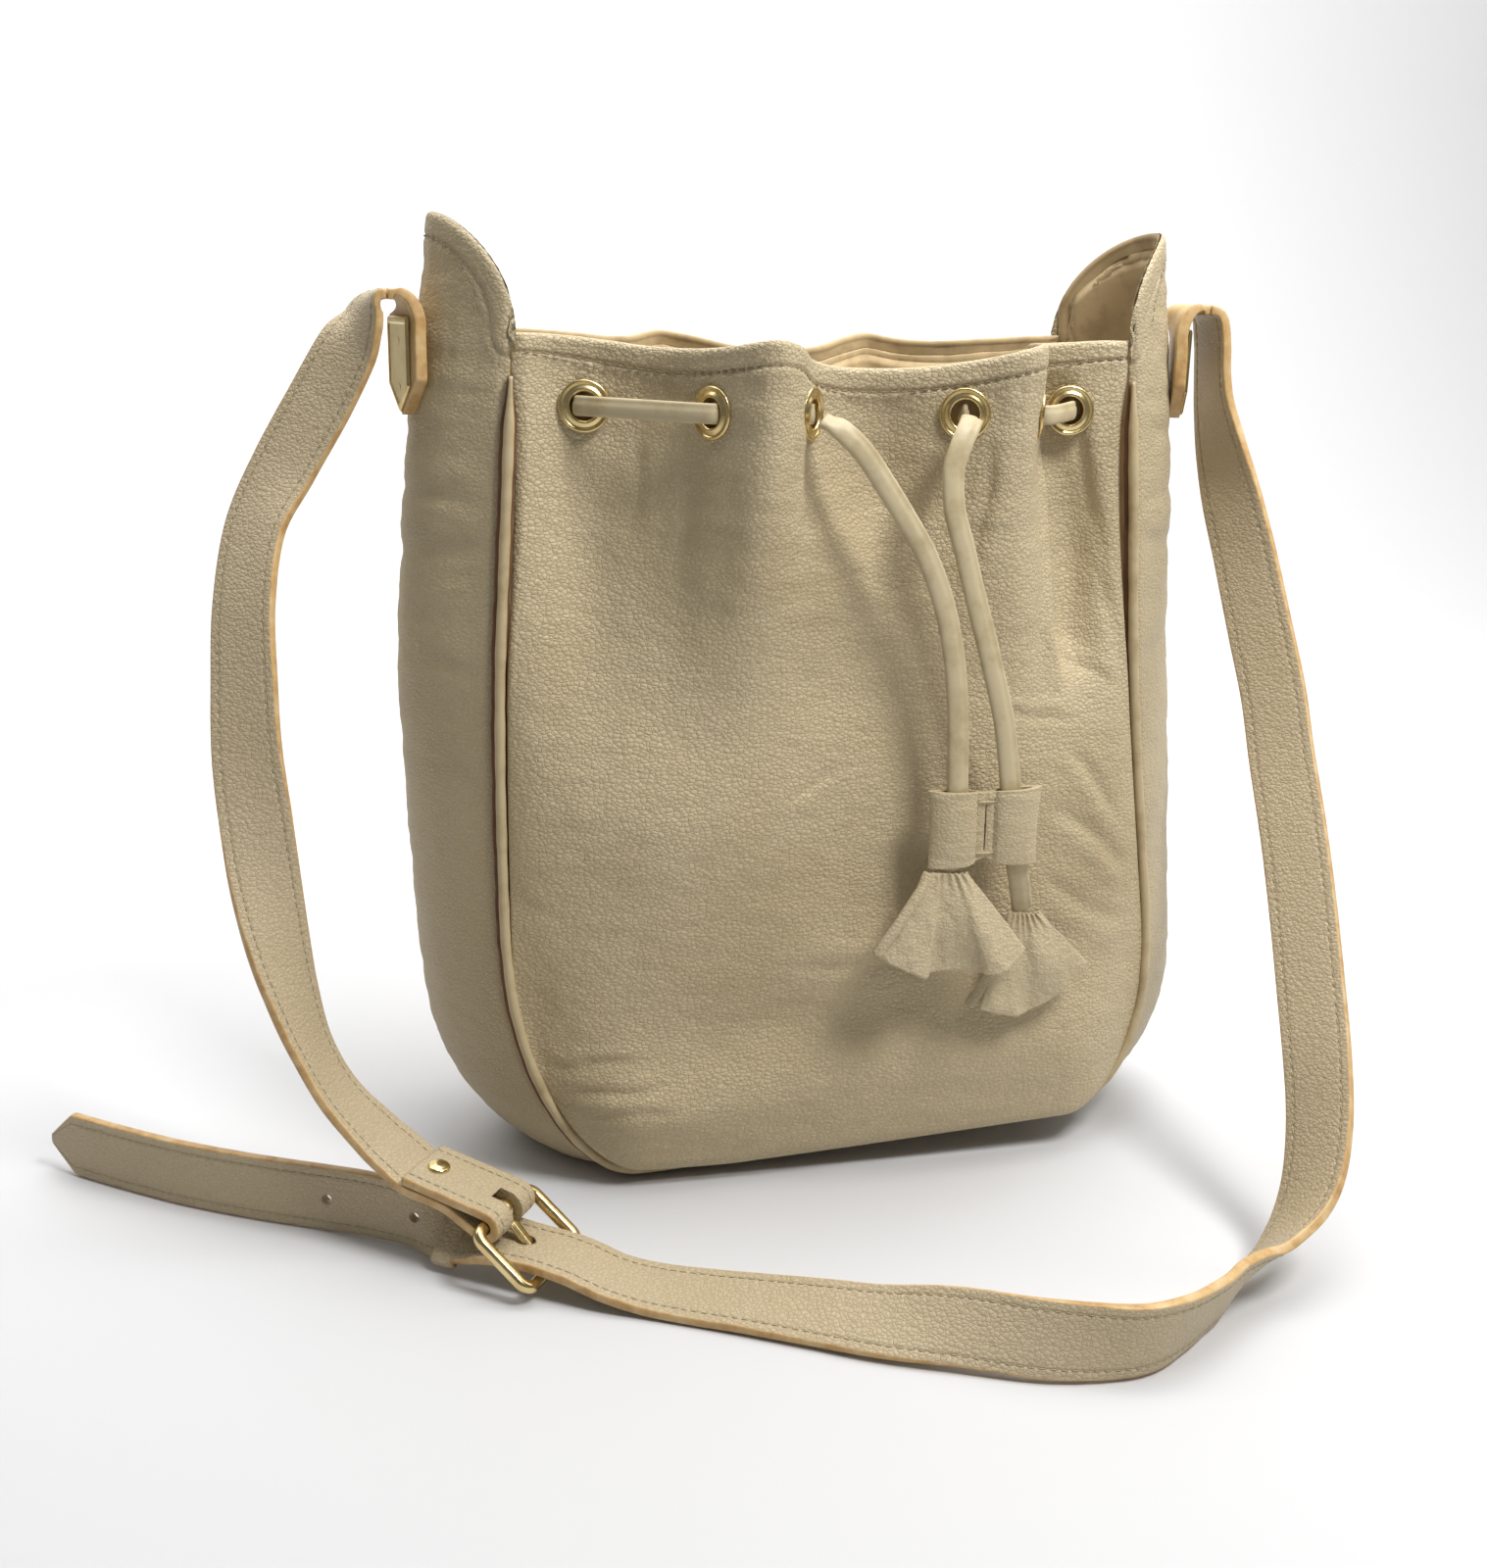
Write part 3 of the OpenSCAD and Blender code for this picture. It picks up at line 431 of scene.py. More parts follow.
def lathe(profile, turns=48):
    """Points and faces of a closed profile of (radius, height) turned about Z."""
    profile = np.asarray(profile, float)
    x, y = circle(turns)
    rings = np.stack([x[:, None] * profile[:, 0], y[:, None] * profile[:, 0],
                      np.broadcast_to(profile[:, 1], (turns, len(profile)))], -1)
    rows, cols = rings.shape[:2]
    i, j = np.meshgrid(np.arange(rows), np.arange(cols), indexing="ij")
    a0 = i * cols + j
    b0 = ((i + 1) % rows) * cols + j
    a1 = i * cols + (j + 1) % cols
    b1 = ((i + 1) % rows) * cols + (j + 1) % cols
    return rings.reshape(-1, 3), np.stack([a0, b0, b1, a1], -1).reshape(-1, 4)


def axes_of(direction, near=(0, 0, 1)):
    """Columns of a turn that carries +Z onto a direction."""
    z = unit(direction)
    x = unit(np.cross(near, z))
    return np.stack([x, np.cross(z, x), z], 1)


def stitches(name, points, normals, materials, long=2.7, pitch=3.7, wide=0.62, sink=0.12):
    """A row of thread stitches along a line of points on a surface."""
    points = np.asarray(points, float)
    run = run_of(points)
    count = max(1, int(run[-1] / pitch))
    verts, faces = [], []
    lengths = np.linspace(-1, 1, 7)
    swell = np.sqrt(np.clip(1 - lengths ** 2, 0.05, 1))
    across, out = circle(6)
    for k in range(count):
        middle = (k + 0.5) * run[-1] / count
        at = middle + lengths * long / 2
        p = np.stack([np.interp(at, run, points[:, c]) for c in range(3)], -1)
        n = unit(np.stack([np.interp(at, run, normals[:, c]) for c in range(3)], -1))
        t = unit(p[-1] - p[0])
        side = np.cross(n, t)
        lift = (0.25 * swell - sink)[:, None]
        rings = (p + n * lift)[:, None] + (side[:, None] * across[:, None] * wide / 2
                 + n[:, None] * out[:, None] * wide / 2) * swell[:, None, None]
        first = len(verts)
        verts.extend(rings.reshape(-1, 3).tolist())
        faces.extend(grid_faces(len(lengths), len(out), first, wrap=True).tolist())
        faces.append(list(range(first, first + len(out)))[::-1])
        faces.append(list(range(len(verts) - len(out), len(verts))))
    return add_mesh(name, verts, faces, materials)


# ---------------------------------------------------------------- materials


class Nodes:
    """Short names for building one material's node tree."""

    def __init__(self, name):
        self.material = bpy.data.materials.new(name)
        self.material.use_nodes = True
        self.tree = self.material.node_tree
        self.shader = self.tree.nodes["Principled BSDF"]

    def add(self, kind, **values):
        node = self.tree.nodes.new(kind)
        for key, value in values.items():
            if key in node.inputs:
                node.inputs[key].default_value = value
            else:
                setattr(node, key, value)
        return node

    def link(self, source, target):
        self.tree.links.new(source, target)

    def texture(self, kind, at, **values):
        node = self.add(kind, **values)
        self.link(at, node.inputs["Vector"])
        return node

    def roughness(self, factor, low, high):
        """Lets the shader's roughness run from low to high with a factor."""
        node = self.add("ShaderNodeMapRange")
        self.link(factor, node.inputs["Value"])
        node.inputs["To Min"].default_value = low
        node.inputs["To Max"].default_value = high
        self.link(node.outputs["Result"], self.shader.inputs["Roughness"])

    def coords(self):
        return self.add("ShaderNodeTexCoord").outputs["Object"]

    def stretched(self, coords, scale):
        node = self.add("ShaderNodeMapping")
        node.inputs["Scale"].default_value = scale
        self.link(coords, node.inputs["Vector"])
        return node.outputs["Vector"]

    def ramp(self, factor, stops):
        node = self.add("ShaderNodeValToRGB")
        node.color_ramp.elements[0].position = stops[0][0]
        node.color_ramp.elements[0].color = (*stops[0][1], 1)
        node.color_ramp.elements[1].position = stops[-1][0]
        node.color_ramp.elements[1].color = (*stops[-1][1], 1)
        for place, colour in stops[1:-1]:
            node.color_ramp.elements.new(place).color = (*colour, 1)
        self.link(factor, node.inputs["Fac"])
        return node.outputs["Color"]

    def maths(self, operation, a, b):
        node = self.add("ShaderNodeMath", operation=operation)
        for socket, value in zip(node.inputs, (a, b)):
            if isinstance(value, (int, float)):
                socket.default_value = value
            else:
                self.link(value, socket)
        return node.outputs[0]

    def blend_colour(self, factor, a, b):
        node = self.add("ShaderNodeMix", data_type="RGBA")
        sockets = [s for s in node.inputs if s.type == "RGBA"]
        for socket, value in ((node.inputs[0], factor), (sockets[0], a), (sockets[1], b)):
            if isinstance(value, (int, float)):
                socket.default_value = value
            elif isinstance(value, tuple):
                socket.default_value = (*value, 1)
            else:
                self.link(value, socket)
        return [s for s in node.outputs if s.type == "RGBA"][0]

    def bump(self, height, strength, distance, below=None):
        node = self.add("ShaderNodeBump")
        node.inputs["Strength"].default_value = strength
        node.inputs["Distance"].default_value = distance
        self.link(height, node.inputs["Height"])
        if below is not None:
            self.link(below, node.inputs["Normal"])
        return node.outputs["Normal"]


# Cells of the leather's grain to a metre
GRAIN_CELLS = 600.0


def leather(name, tone, dark, grain=1.0, grain_depth=1.0, roughness=0.5, wear=0.5):
    """Pebbled leather: cells with creases between them, darkened there as painted shade, fine
    pores, wrinkles, and soft stains.
    """
    n = Nodes(name)
    at = n.coords()
    wobble = n.texture("ShaderNodeTexNoise", at, Scale=260.0, Detail=2.0)
    moved = n.add("ShaderNodeVectorMath", operation="MULTIPLY_ADD")
    n.link(wobble.outputs["Color"], moved.inputs[0])
    moved.inputs[1].default_value = (0.0016, 0.0016, 0.0016)
    n.link(at, moved.inputs[2])
    drawn = n.stretched(moved.outputs[0], (0.85, 1, 1.2))
    cells = n.texture("ShaderNodeTexVoronoi", drawn, Scale=GRAIN_CELLS / grain,
                      feature="DISTANCE_TO_EDGE")
    pebbles = n.texture("ShaderNodeTexVoronoi", drawn, Scale=GRAIN_CELLS / grain,
                        feature="SMOOTH_F1", Smoothness=0.7)
    pores = n.texture("ShaderNodeTexNoise", at, Scale=1800.0, Detail=3.0, Roughness=0.6)
    folds = n.texture("ShaderNodeTexNoise", at, Scale=42.0, Detail=4.0, Roughness=0.62,
                      Distortion=0.4)
    stains = n.texture("ShaderNodeTexNoise", at, Scale=11.0, Detail=3.0, Roughness=0.55)
    crease = n.ramp(cells.outputs["Distance"], [(0.0, (0, 0, 0)), (0.13, (1, 1, 1))])
    light = tuple(min(1, c * 1.09) for c in tone)
    broad = n.ramp(stains.outputs["Fac"], [(0.3, dark), (0.5, tone), (0.75, light)])
    patch = n.blend_colour(wear, tone, broad)
    # Painted shade: the grain's creases are darkened towards this tone, as the shade that falls in
    # them.
    crease_shade_tone = tuple(c * k for c, k in zip(tone, (0.7, 0.66, 0.58)))
    colour = n.blend_colour(crease, n.blend_colour(0.45, patch, crease_shade_tone), patch)
    n.link(colour, n.shader.inputs["Base Color"])
    n.roughness(folds.outputs["Fac"], roughness - 0.07, roughness + 0.1)
    n.shader.inputs["Specular IOR Level"].default_value = 0.42
    n.shader.inputs["Sheen Weight"].default_value = 0.06
    n.shader.inputs["Sheen Roughness"].default_value = 0.5
    dome = n.maths("SUBTRACT", 1.0, pebbles.outputs["Distance"])
    wide = n.bump(folds.outputs["Fac"], 0.35, 0.0016)
    round_cells = n.bump(dome, 0.65 * grain_depth, 0.0006, wide)
    cut = n.bump(crease, 0.7 * grain_depth, 0.00028, round_cells)
    fine = n.bump(pores.outputs["Fac"], 0.18, 0.0002, cut)
    n.link(fine, n.shader.inputs["Normal"])
    return n.material


def smooth_leather(name, tone, dark, roughness=0.5):
    """Plain leather with pores and soft streaks, for folded strips and cut edges."""
    n = Nodes(name)
    at = n.coords()
    streaks = n.texture("ShaderNodeTexNoise", at, Scale=90.0, Detail=4.0, Roughness=0.6)
    pores = n.texture("ShaderNodeTexNoise", at, Scale=1500.0, Detail=2.0)
    colour = n.ramp(streaks.outputs["Fac"], [(0.3, dark), (0.55, tone), (0.8, tone)])
    n.link(colour, n.shader.inputs["Base Color"])
    n.shader.inputs["Roughness"].default_value = roughness
    n.shader.inputs["Specular IOR Level"].default_value = 0.4
    broad = n.bump(streaks.outputs["Fac"], 0.3, 0.0009)
    n.link(n.bump(pores.outputs["Fac"], 0.15, 0.0002, broad), n.shader.inputs["Normal"])
    return n.material


def painted_edge(name):
    """Tan edge paint, worn through to a paler tone in places."""
    n = Nodes(name)
    at = n.coords()
    worn = n.texture("ShaderNodeTexNoise", at, Scale=140.0, Detail=5.0, Roughness=0.65)
    colour = n.ramp(worn.outputs["Fac"], [(0.32, (0.42, 0.235, 0.085)), (0.5, (0.56, 0.36, 0.15)),
                                         (0.72, (0.66, 0.49, 0.26))])
    n.link(colour, n.shader.inputs["Base Color"])
    n.shader.inputs["Roughness"].default_value = 0.48
    n.link(n.bump(worn.outputs["Fac"], 0.4, 0.0005), n.shader.inputs["Normal"])
    return n.material


def gold(name, roughness=0.2):
    """Pale gold plate with faint scratches and dulled patches."""
    n = Nodes(name)
    at = n.coords()
    dull = n.texture("ShaderNodeTexNoise", at, Scale=120.0, Detail=4.0, Roughness=0.6)
    scratch = n.texture("ShaderNodeTexNoise", n.stretched(at, (1, 7, 1)), Scale=600.0, Detail=3.0)
    colour = n.ramp(dull.outputs["Fac"], [(0.3, (0.62, 0.47, 0.21)), (0.6, (0.78, 0.62, 0.31)),
                                         (0.8, (0.86, 0.72, 0.42))])
    n.link(colour, n.shader.inputs["Base Color"])
    n.shader.inputs["Metallic"].default_value = 1.0
    n.roughness(dull.outputs["Fac"], roughness - 0.08, roughness + 0.12)
    n.link(n.bump(scratch.outputs["Fac"], 0.12, 0.0001), n.shader.inputs["Normal"])
    return n.material


def thread(name, tone):
    """Twisted sewing thread, darkened as painted shade in the grooves of its twist."""
    n = Nodes(name)
    at = n.coords()
    twist = n.texture("ShaderNodeTexWave", at, Scale=900.0, Distortion=1.5,
                      bands_direction="DIAGONAL")
    # Painted shade: the colour darkens where the twist's grooves sink, as the shade in them.
    colour = n.ramp(twist.outputs["Fac"], [(0.1, tuple(c * 0.6 for c in tone)), (0.8, tone)])
    n.link(colour, n.shader.inputs["Base Color"])
    n.shader.inputs["Roughness"].default_value = 0.7
    n.link(n.bump(twist.outputs["Fac"], 0.4, 0.0002), n.shader.inputs["Normal"])
    return n.material


CREAM = (0.545, 0.445, 0.275)
CREAM_DARK = (0.43, 0.335, 0.185)
body_leather = leather("body_leather", CREAM, CREAM_DARK, grain=1.0, wear=0.7)
# Painted shade: the gusset uses the body's cream made about a tenth darker, standing for the shade
# on the bag's sides.
shaded_gusset_leather = leather("shaded_gusset_leather", (0.49, 0.40, 0.245), (0.39, 0.305, 0.17), grain=0.95,
                         grain_depth=0.8)
# Painted shade: the strap and keeper use the body's cream made about a tenth darker, standing for
# the shade on the strap.
strap_leather = leather("strap_leather", (0.49, 0.395, 0.25), CREAM_DARK, grain=0.9,
                        grain_depth=0.7, roughness=0.46)
tassel_leather = leather("tassel_leather", (0.56, 0.465, 0.295), CREAM_DARK, grain=0.8,
                         grain_depth=0.7, roughness=0.48)
piping_leather = smooth_leather("piping_leather", (0.50, 0.40, 0.235), (0.38, 0.285, 0.15))
lace_leather = smooth_leather("lace_leather", (0.54, 0.45, 0.28), (0.41, 0.325, 0.175), 0.46)
lining_leather = smooth_leather("lining_leather", (0.46, 0.34, 0.18), (0.33, 0.235, 0.12), 0.7)
edge_paint = painted_edge("edge_paint")
tab_leather = smooth_leather("tab_leather", (0.60, 0.43, 0.2), (0.5, 0.34, 0.14), 0.5)
gold_metal = gold("gold_metal")
eyelet_metal = gold("eyelet_metal", 0.24)
seam_thread = thread("seam_thread", (0.34, 0.26, 0.15))
seam_shade = smooth_leather("seam_shade", (0.16, 0.07, 0.03), (0.09, 0.04, 0.02), 0.7)
strap_thread = thread("strap_thread", (0.47, 0.4, 0.24))

# ---------------------------------------------------------------- body surfaces


def slump_at(z):
    return SLUMP * np.maximum(0, 1 - z / SLUMP_TOP) ** 1.5


def lifted(p):
    """The bag leans to the left, so its bottom lifts off the floor towards the right."""
    rise = np.clip((p[..., 0] + LEAN_FROM) / LEAN_WIDE, 0, 1.1) * LEAN_LIFT
    p[..., 2] += rise * np.maximum(0, 1 - p[..., 2] / LEAN_TOP) ** 1.5
    return p


def seam_half(z):
    return mix(SEAM_HALF_LOW, SEAM_HALF_TOP, np.maximum(0, z - BELLY_Z) / (RIM_Z - BELLY_Z))


def crease_half(z):
    return mix(CREASE_HALF_LOW, CREASE_HALF_TOP,
               (np.maximum(0, z - BELLY_Z) / (EAR_Z - BELLY_Z)) ** 2)


def seam_y(z):
    return mix(SEAM_Y_LOW, SEAM_Y_TOP, np.clip(z / RIM_Z, 0, 1) ** 1.5)


def ear_top(t):
    return RIM_Z + EAR_H * np.sqrt(np.maximum(0, 1 - np.abs(t) ** EAR_POWER))


def gusset_point(i, t):
    """Gusset point: i from the left rim under the bag to the right rim, t from seam to seam."""
    i, t = np.broadcast_arrays(np.asarray(i, float), np.asarray(t, float))
    k = 1 - np.abs(t) ** CREASE_POWER
    left = i <= GUSSET_ROWS / 2
    j = np.where(left, i, GUSSET_ROWS - i)
    side = np.where(left, -1, 1)
    corner_x = mix(SEAM_CORNER[0], CREASE_CORNER[0], k)
    corner_h = mix(SEAM_CORNER[1], CREASE_CORNER[1], k)
    corner_z = SEAM_FLOOR * smooth(0.6, 1, np.abs(t)) + corner_h
    half_low = mix(seam_half(corner_z), crease_half(corner_z), k)
    turn = np.radians(np.clip((j - SIDE_ROWS) / CORNER_ROWS, 0, 1) * 90)
    run = np.maximum(0, j - SIDE_ROWS - CORNER_ROWS) / (FLOOR_ROWS / 2)
    on_side = j <= SIDE_ROWS
    z = np.where(on_side, mix(ear_top(t), corner_z, j / SIDE_ROWS),
                 corner_z - corner_h * np.sin(turn))
    low = (half_low - corner_x + corner_x * np.cos(turn)) * np.where(run > 0, 1 - run, 1)
    half = np.where(on_side, mix(seam_half(z), crease_half(z), k), low)
    return lifted(np.stack([side * half + slump_at(z), t * seam_y(z), z], -1))


def panel_point(rim, face, q, v):
    """Panel point: q across from left to right, v from the bottom seam up to the rim."""
    q, v = np.broadcast_arrays(np.asarray(q, float), np.asarray(v, float))
    corner_q = 0.2
    left = q <= 0.5
    e = np.where(left, q, 1 - q)
    side = np.where(left, -1, 1)
    corner_z = SEAM_FLOOR + SEAM_CORNER[1]
    turn = np.radians(np.clip(e / corner_q, 0, 1) * 90)
    half = seam_half(corner_z)
    run = np.clip((e - corner_q) / (0.5 - corner_q), 0, 1)
    xb = side * (half - SEAM_CORNER[0] + SEAM_CORNER[0] * np.cos(turn)) * (1 - run)
    zb = corner_z - SEAM_CORNER[1] * np.sin(turn)
    top = along(rim, q if face < 0 else 1 - q)
    z = mix(zb, top[..., 2], v)
    pleat = smooth(0.45, 1, v) * mix(0.75, 1, v)
    x_flat = mix(xb, mix(-SEAM_HALF_TOP, SEAM_HALF_TOP, q), v)
    x = mix(x_flat, top[..., 0], pleat)
    swell = ((1 - np.abs(2 * q - 1) ** 2.6) * np.sin(np.radians(90 * np.clip(v / 0.35, 0, 1)))
             * mix(1, 0.6, smooth(0.35, 1, v)))
    y = mix(face * (seam_y(z) + BELLY * swell), top[..., 1], pleat)
    return lifted(np.stack([x + slump_at(z), y, z], -1))


def front_point(q, v):
    return panel_point(FRONT_RIM, -1, q, v)


def back_point(q, v):
    return panel_point(BACK_RIM, 1, q, v)


def panel_normal(point, face, q, v, e=0.004):
    du = point(q + e, v) - point(q - e, v)
    dv = point(q, v + e) - point(q, v - e)
    n = unit(np.cross(du, dv))
    return n * -face


def eyelet_frame(point, face, q):
    """Place and outward normal of the eyelet at share q of the rim."""
    low, high = point(q, 0.0)[2], point(q, 1.0)[2]
    v = (EYELET_Z - low) / (high - low)
    return point(q, v), panel_normal(point, face, q, v)


def seam_dip(distance):
    """How far leather sinks towards the seam beside the piping."""
    return 2.0 * np.exp(-((distance / 1.7) ** 2))


def hem_shape(distance):
    """Puff of the turned hem and the groove of its stitches, by distance from the cut edge."""
    puff = 0.5 * smooth(0, 3, distance) * (1 - smooth(HEM_STITCH - 1.5, HEM_STITCH, distance))
    groove = 0.4 * bump(distance, HEM_STITCH, 0.7)
    after = 0.25 * bump(distance, HEM_STITCH + 2.2, 1.4)
    return puff - groove + after


# Hollows and swellings of the front: x, z, half width, half height, depth
FRONT_SWELLS = [(-4, 234, 19, 28, 6.5), (14, 270, 13, 28, -6), (69, 226, 12, 34, 6),
                (101, 238, 9, 38, -6), (-34, 250, 12, 44, 3), (-90, 234, 13, 50, -3.5),
                (35, 124, 46, 26, -3), (-60, 146, 46, 30, 4.5), (66, 52, 40, 18, 2),
                (-14, 66, 60, 17, -5), (-64, 34, 34, 12, 3.5), (-62, 214, 14, 34, -1.5),
                (38, 196, 16, 30, -2)]
# Sharp edge of the right pleat: height and x
FOLD_EDGE = [(186, 91), (213, 86), (240, 85), (263, 84), (290, 79), (316, 73)]
# Creases: ends (x, z), depth and half width
FRONT_CREASES = [((-105, 52), (-72, 55), 0.9, 1.6), ((-101, 40), (-66, 46), 1.1, 1.8),
                 ((-96, 33), (-58, 35), 0.9, 2.0),
                 ((96, 296), (108, 236), 1.4, 2.4), ((108, 236), (121, 172), 1.6, 2.6),
                 ((118, 138), (92, 168), 1.2, 2.4), ((122, 118), (88, 146), 1.3, 2.6),
                 ((120, 96), (84, 116), 1.0, 2.6), ((28, 262), (20, 226), 1.0, 1.8),
                 ((52, 282), (47, 236), 1.0, 2.0), ((-16, 286), (-20, 240), 1.0, 2.2),
                 ((-54, 286), (-62, 236), 0.9, 2.4), ((-70, 288), (-76, 250), 0.8, 2.0),
                 ((60, 186), (96, 176), 0.7, 1.6), ((-20, 92), (44, 84), 0.8, 2.6),
                 ((88, 206), (112, 190), 0.8, 1.6), ((4, 168), (-22, 154), 0.6, 1.6)]
BACK_SWELLS = [(0, 250, 20, 30, 4), (-70, 220, 20, 40, -3), (72, 214, 20, 40, -3),
               (20, 110, 60, 30, 2.5), (-60, 80, 40, 24, 2)]
BACK_CREASES = [((-30, 286), (-34, 240), 1.0, 2.2), ((30, 286), (34, 238), 1.0, 2.2),
                ((96, 56), (66, 60), 1.0, 1.8), ((-96, 52), (-64, 58), 1.0, 1.8),
                ((-60, 280), (-66, 236), 0.8, 2.2), ((12, 280), (8, 244), 0.8, 2.0)]


def crease_shape(x, z, a, b, depth, wide):
    """A groove between two places with a soft lip beside it."""
    d = np.array(b, float) - a
    long = np.linalg.norm(d)
    d = d / long
    s = (x - a[0]) * d[0] + (z - a[1]) * d[1]
    off = (x - a[0]) * -d[1] + (z - a[1]) * d[0] + 1.2 * np.sin(s / long * 5.0 + depth * 9)
    ends = smooth(-0.15 * long, 0.25 * long, s) * (1 - smooth(0.7 * long, 1.15 * long, s))
    return depth * ends * (0.6 * bump(off, 2.6 * wide, 1.6 * wide) - bump(off, 0, wide))


def drape(p, face):
    """Swellings, folds and wrinkles of worn leather, as a height in mm."""
    x, z = p[..., 0], p[..., 2]
    high = smooth(150, 300, z)
    lift = 1.0 * noise_at(p, (46, 60, 60), 3.1 + face) * smooth(0, 60, z)
    lift += 0.5 * noise_at(p, (26, 30, 9), 7.7 + face) * mix(0.6, 1, high)
    lift += 0.26 * noise_at(p, (8, 9, 4), 1.3 + face)
    lift += 0.16 * noise_at(p, (3.6, 4, 2.6), 4.3 + face)
    lift += 0.5 * noise_at(p, (4.2, 5, 30), 9.1 + face) * smooth(286, 306, z)
    if abs(face) == 1:
        for cx, cz, rx, rz, height in FRONT_SWELLS if face < 0 else BACK_SWELLS:
            lift += height * bump(x, cx, rx) * bump(z, cz, rz)
        for a, b, depth, wide in FRONT_CREASES if face < 0 else BACK_CREASES:
            lift += crease_shape(x, z, a, b, depth, wide)
    if face == -1:
        zs, xs = zip(*FOLD_EDGE)
        off = x - np.interp(z, zs, xs)
        span = smooth(188, 214, z) * (1 - 0.6 * smooth(296, 312, z))
        span = span * mix(1.4, 1, smooth(250, 282, z))
        lift -= 5.5 * span * smooth(-0.5, 3.0, off) * (1 - smooth(7, 22, off))
        lift += 1.8 * span * bump(off, -3, 4.5)
    return lift


def roll_out(p, q, v, face):
    """The low part of a panel rolls out over its seam, and hangs over it where it is lifted."""
    corner = smooth(0.07, 0.2, np.minimum(q, 1 - q))
    rise = np.clip(v * 32, 0, 1)
    roll = ROLL_OUT * np.sqrt(rise * (2 - rise)) * (1 - smooth(0.04, 0.31, v))
    sag = ROLL_SAG * smooth(0, 0.012, v) * (1 - smooth(0.015, 0.09, v))
    sag = sag * smooth(-90, -30, p[..., 0])
    p[..., 1] += face * roll * corner
    p[..., 2] -= sag * corner


def build_panel(name, point, face, eyelets, node):
    """Front or back of the bag, with its hem, folds, creases and eyelet holes."""
    width = 2 * SEAM_HALF_TOP
    height = RIM_Z
    gap = 1.5
    cross = edge_steps(width - 2 * gap, 1.0)
    fine = np.array([0, 0.12, 0.35, 0.7, 1.2])
    rise = np.concatenate([fine, np.arange(2.6, height - 16, 1.5),
                           height - np.arange(16, 1.3, -0.6), height - fine[::-1]])
    q = ((cross + gap) / width)[None, :]
    v = (gap + rise * (height - gap) / height)[:, None] / height
    p = point(q, v)
    n = outward(p, face)
    from_sides = np.minimum(cross, cross[-1] - cross)[None, :] + 0 * v
    from_low = rise[:, None] + 0 * q
    from_top = (height - rise)[:, None] + 0 * q
    seam = np.minimum(from_sides, from_low)
    lift = drape(p, face) * smooth(0, 14, seam) * mix(0.35, 1, smooth(0, 12, from_top))
    lift = lift + hem_shape(from_top)
    p = p + n * (lift - seam_dip(seam))[..., None]
    roll_out(p, q + 0 * v, v + 0 * q, face)
    p[..., 0] += np.sign(q - 0.5) * 1.4 * smooth(286, 304, p[..., 2]) * np.exp(-from_sides / 12)
    edge = np.minimum(seam, from_top)
    thick = LEATHER_T + 1.4 * (1 - smooth(HEM_WIDTH - 1, HEM_WIDTH + 1.5, from_top))
    holes = np.zeros(edge.shape, bool)
    for share in eyelets:
        at, axis = eyelet_frame(point, face, share)
        off = p - at
        flat = off - (off @ axis)[..., None] * axis
        holes |= (np.linalg.norm(flat, axis=-1) < EYELET_HOLE_R) & (np.abs(off @ axis) < 9)
    if face > 0:
        p = p[:, ::-1]
        edge = edge[:, ::-1]
        thick = thick[:, ::-1]
        holes = holes[:, ::-1]
    piece = shell(name, p, thick, edge, [body_leather, lining_leather], holes, 1)
    seat(piece, "bag", "body_leather", node)
    line_v = 1 - HEM_STITCH / height
    line_q = np.linspace(0.012, 0.988, 400)
    line = point(line_q, line_v)
    line_n = np.array([panel_normal(point, face, a, line_v) for a in line_q])
    line = line + line_n * 0.1
    seat(stitches(name + "_hem_stitches", line, line_n, [seam_thread]), "bag", "thread")


# Soft creases across the gusset: height, slope, depth and half width
GUSSET_FOLDS = [(262, 0.1, 0.7, 3.2), (238, -0.15, 0.9, 4.0), (206, 0.2, 0.35, 3.0),
                (282, -0.1, 0.3, 2.0), (168, 0.25, 0.4, 4.0), (120, -0.2, 0.3, 4.0),
                (300, 0.12, 0.25, 1.6), (76, 0.3, 0.35, 3.0)]


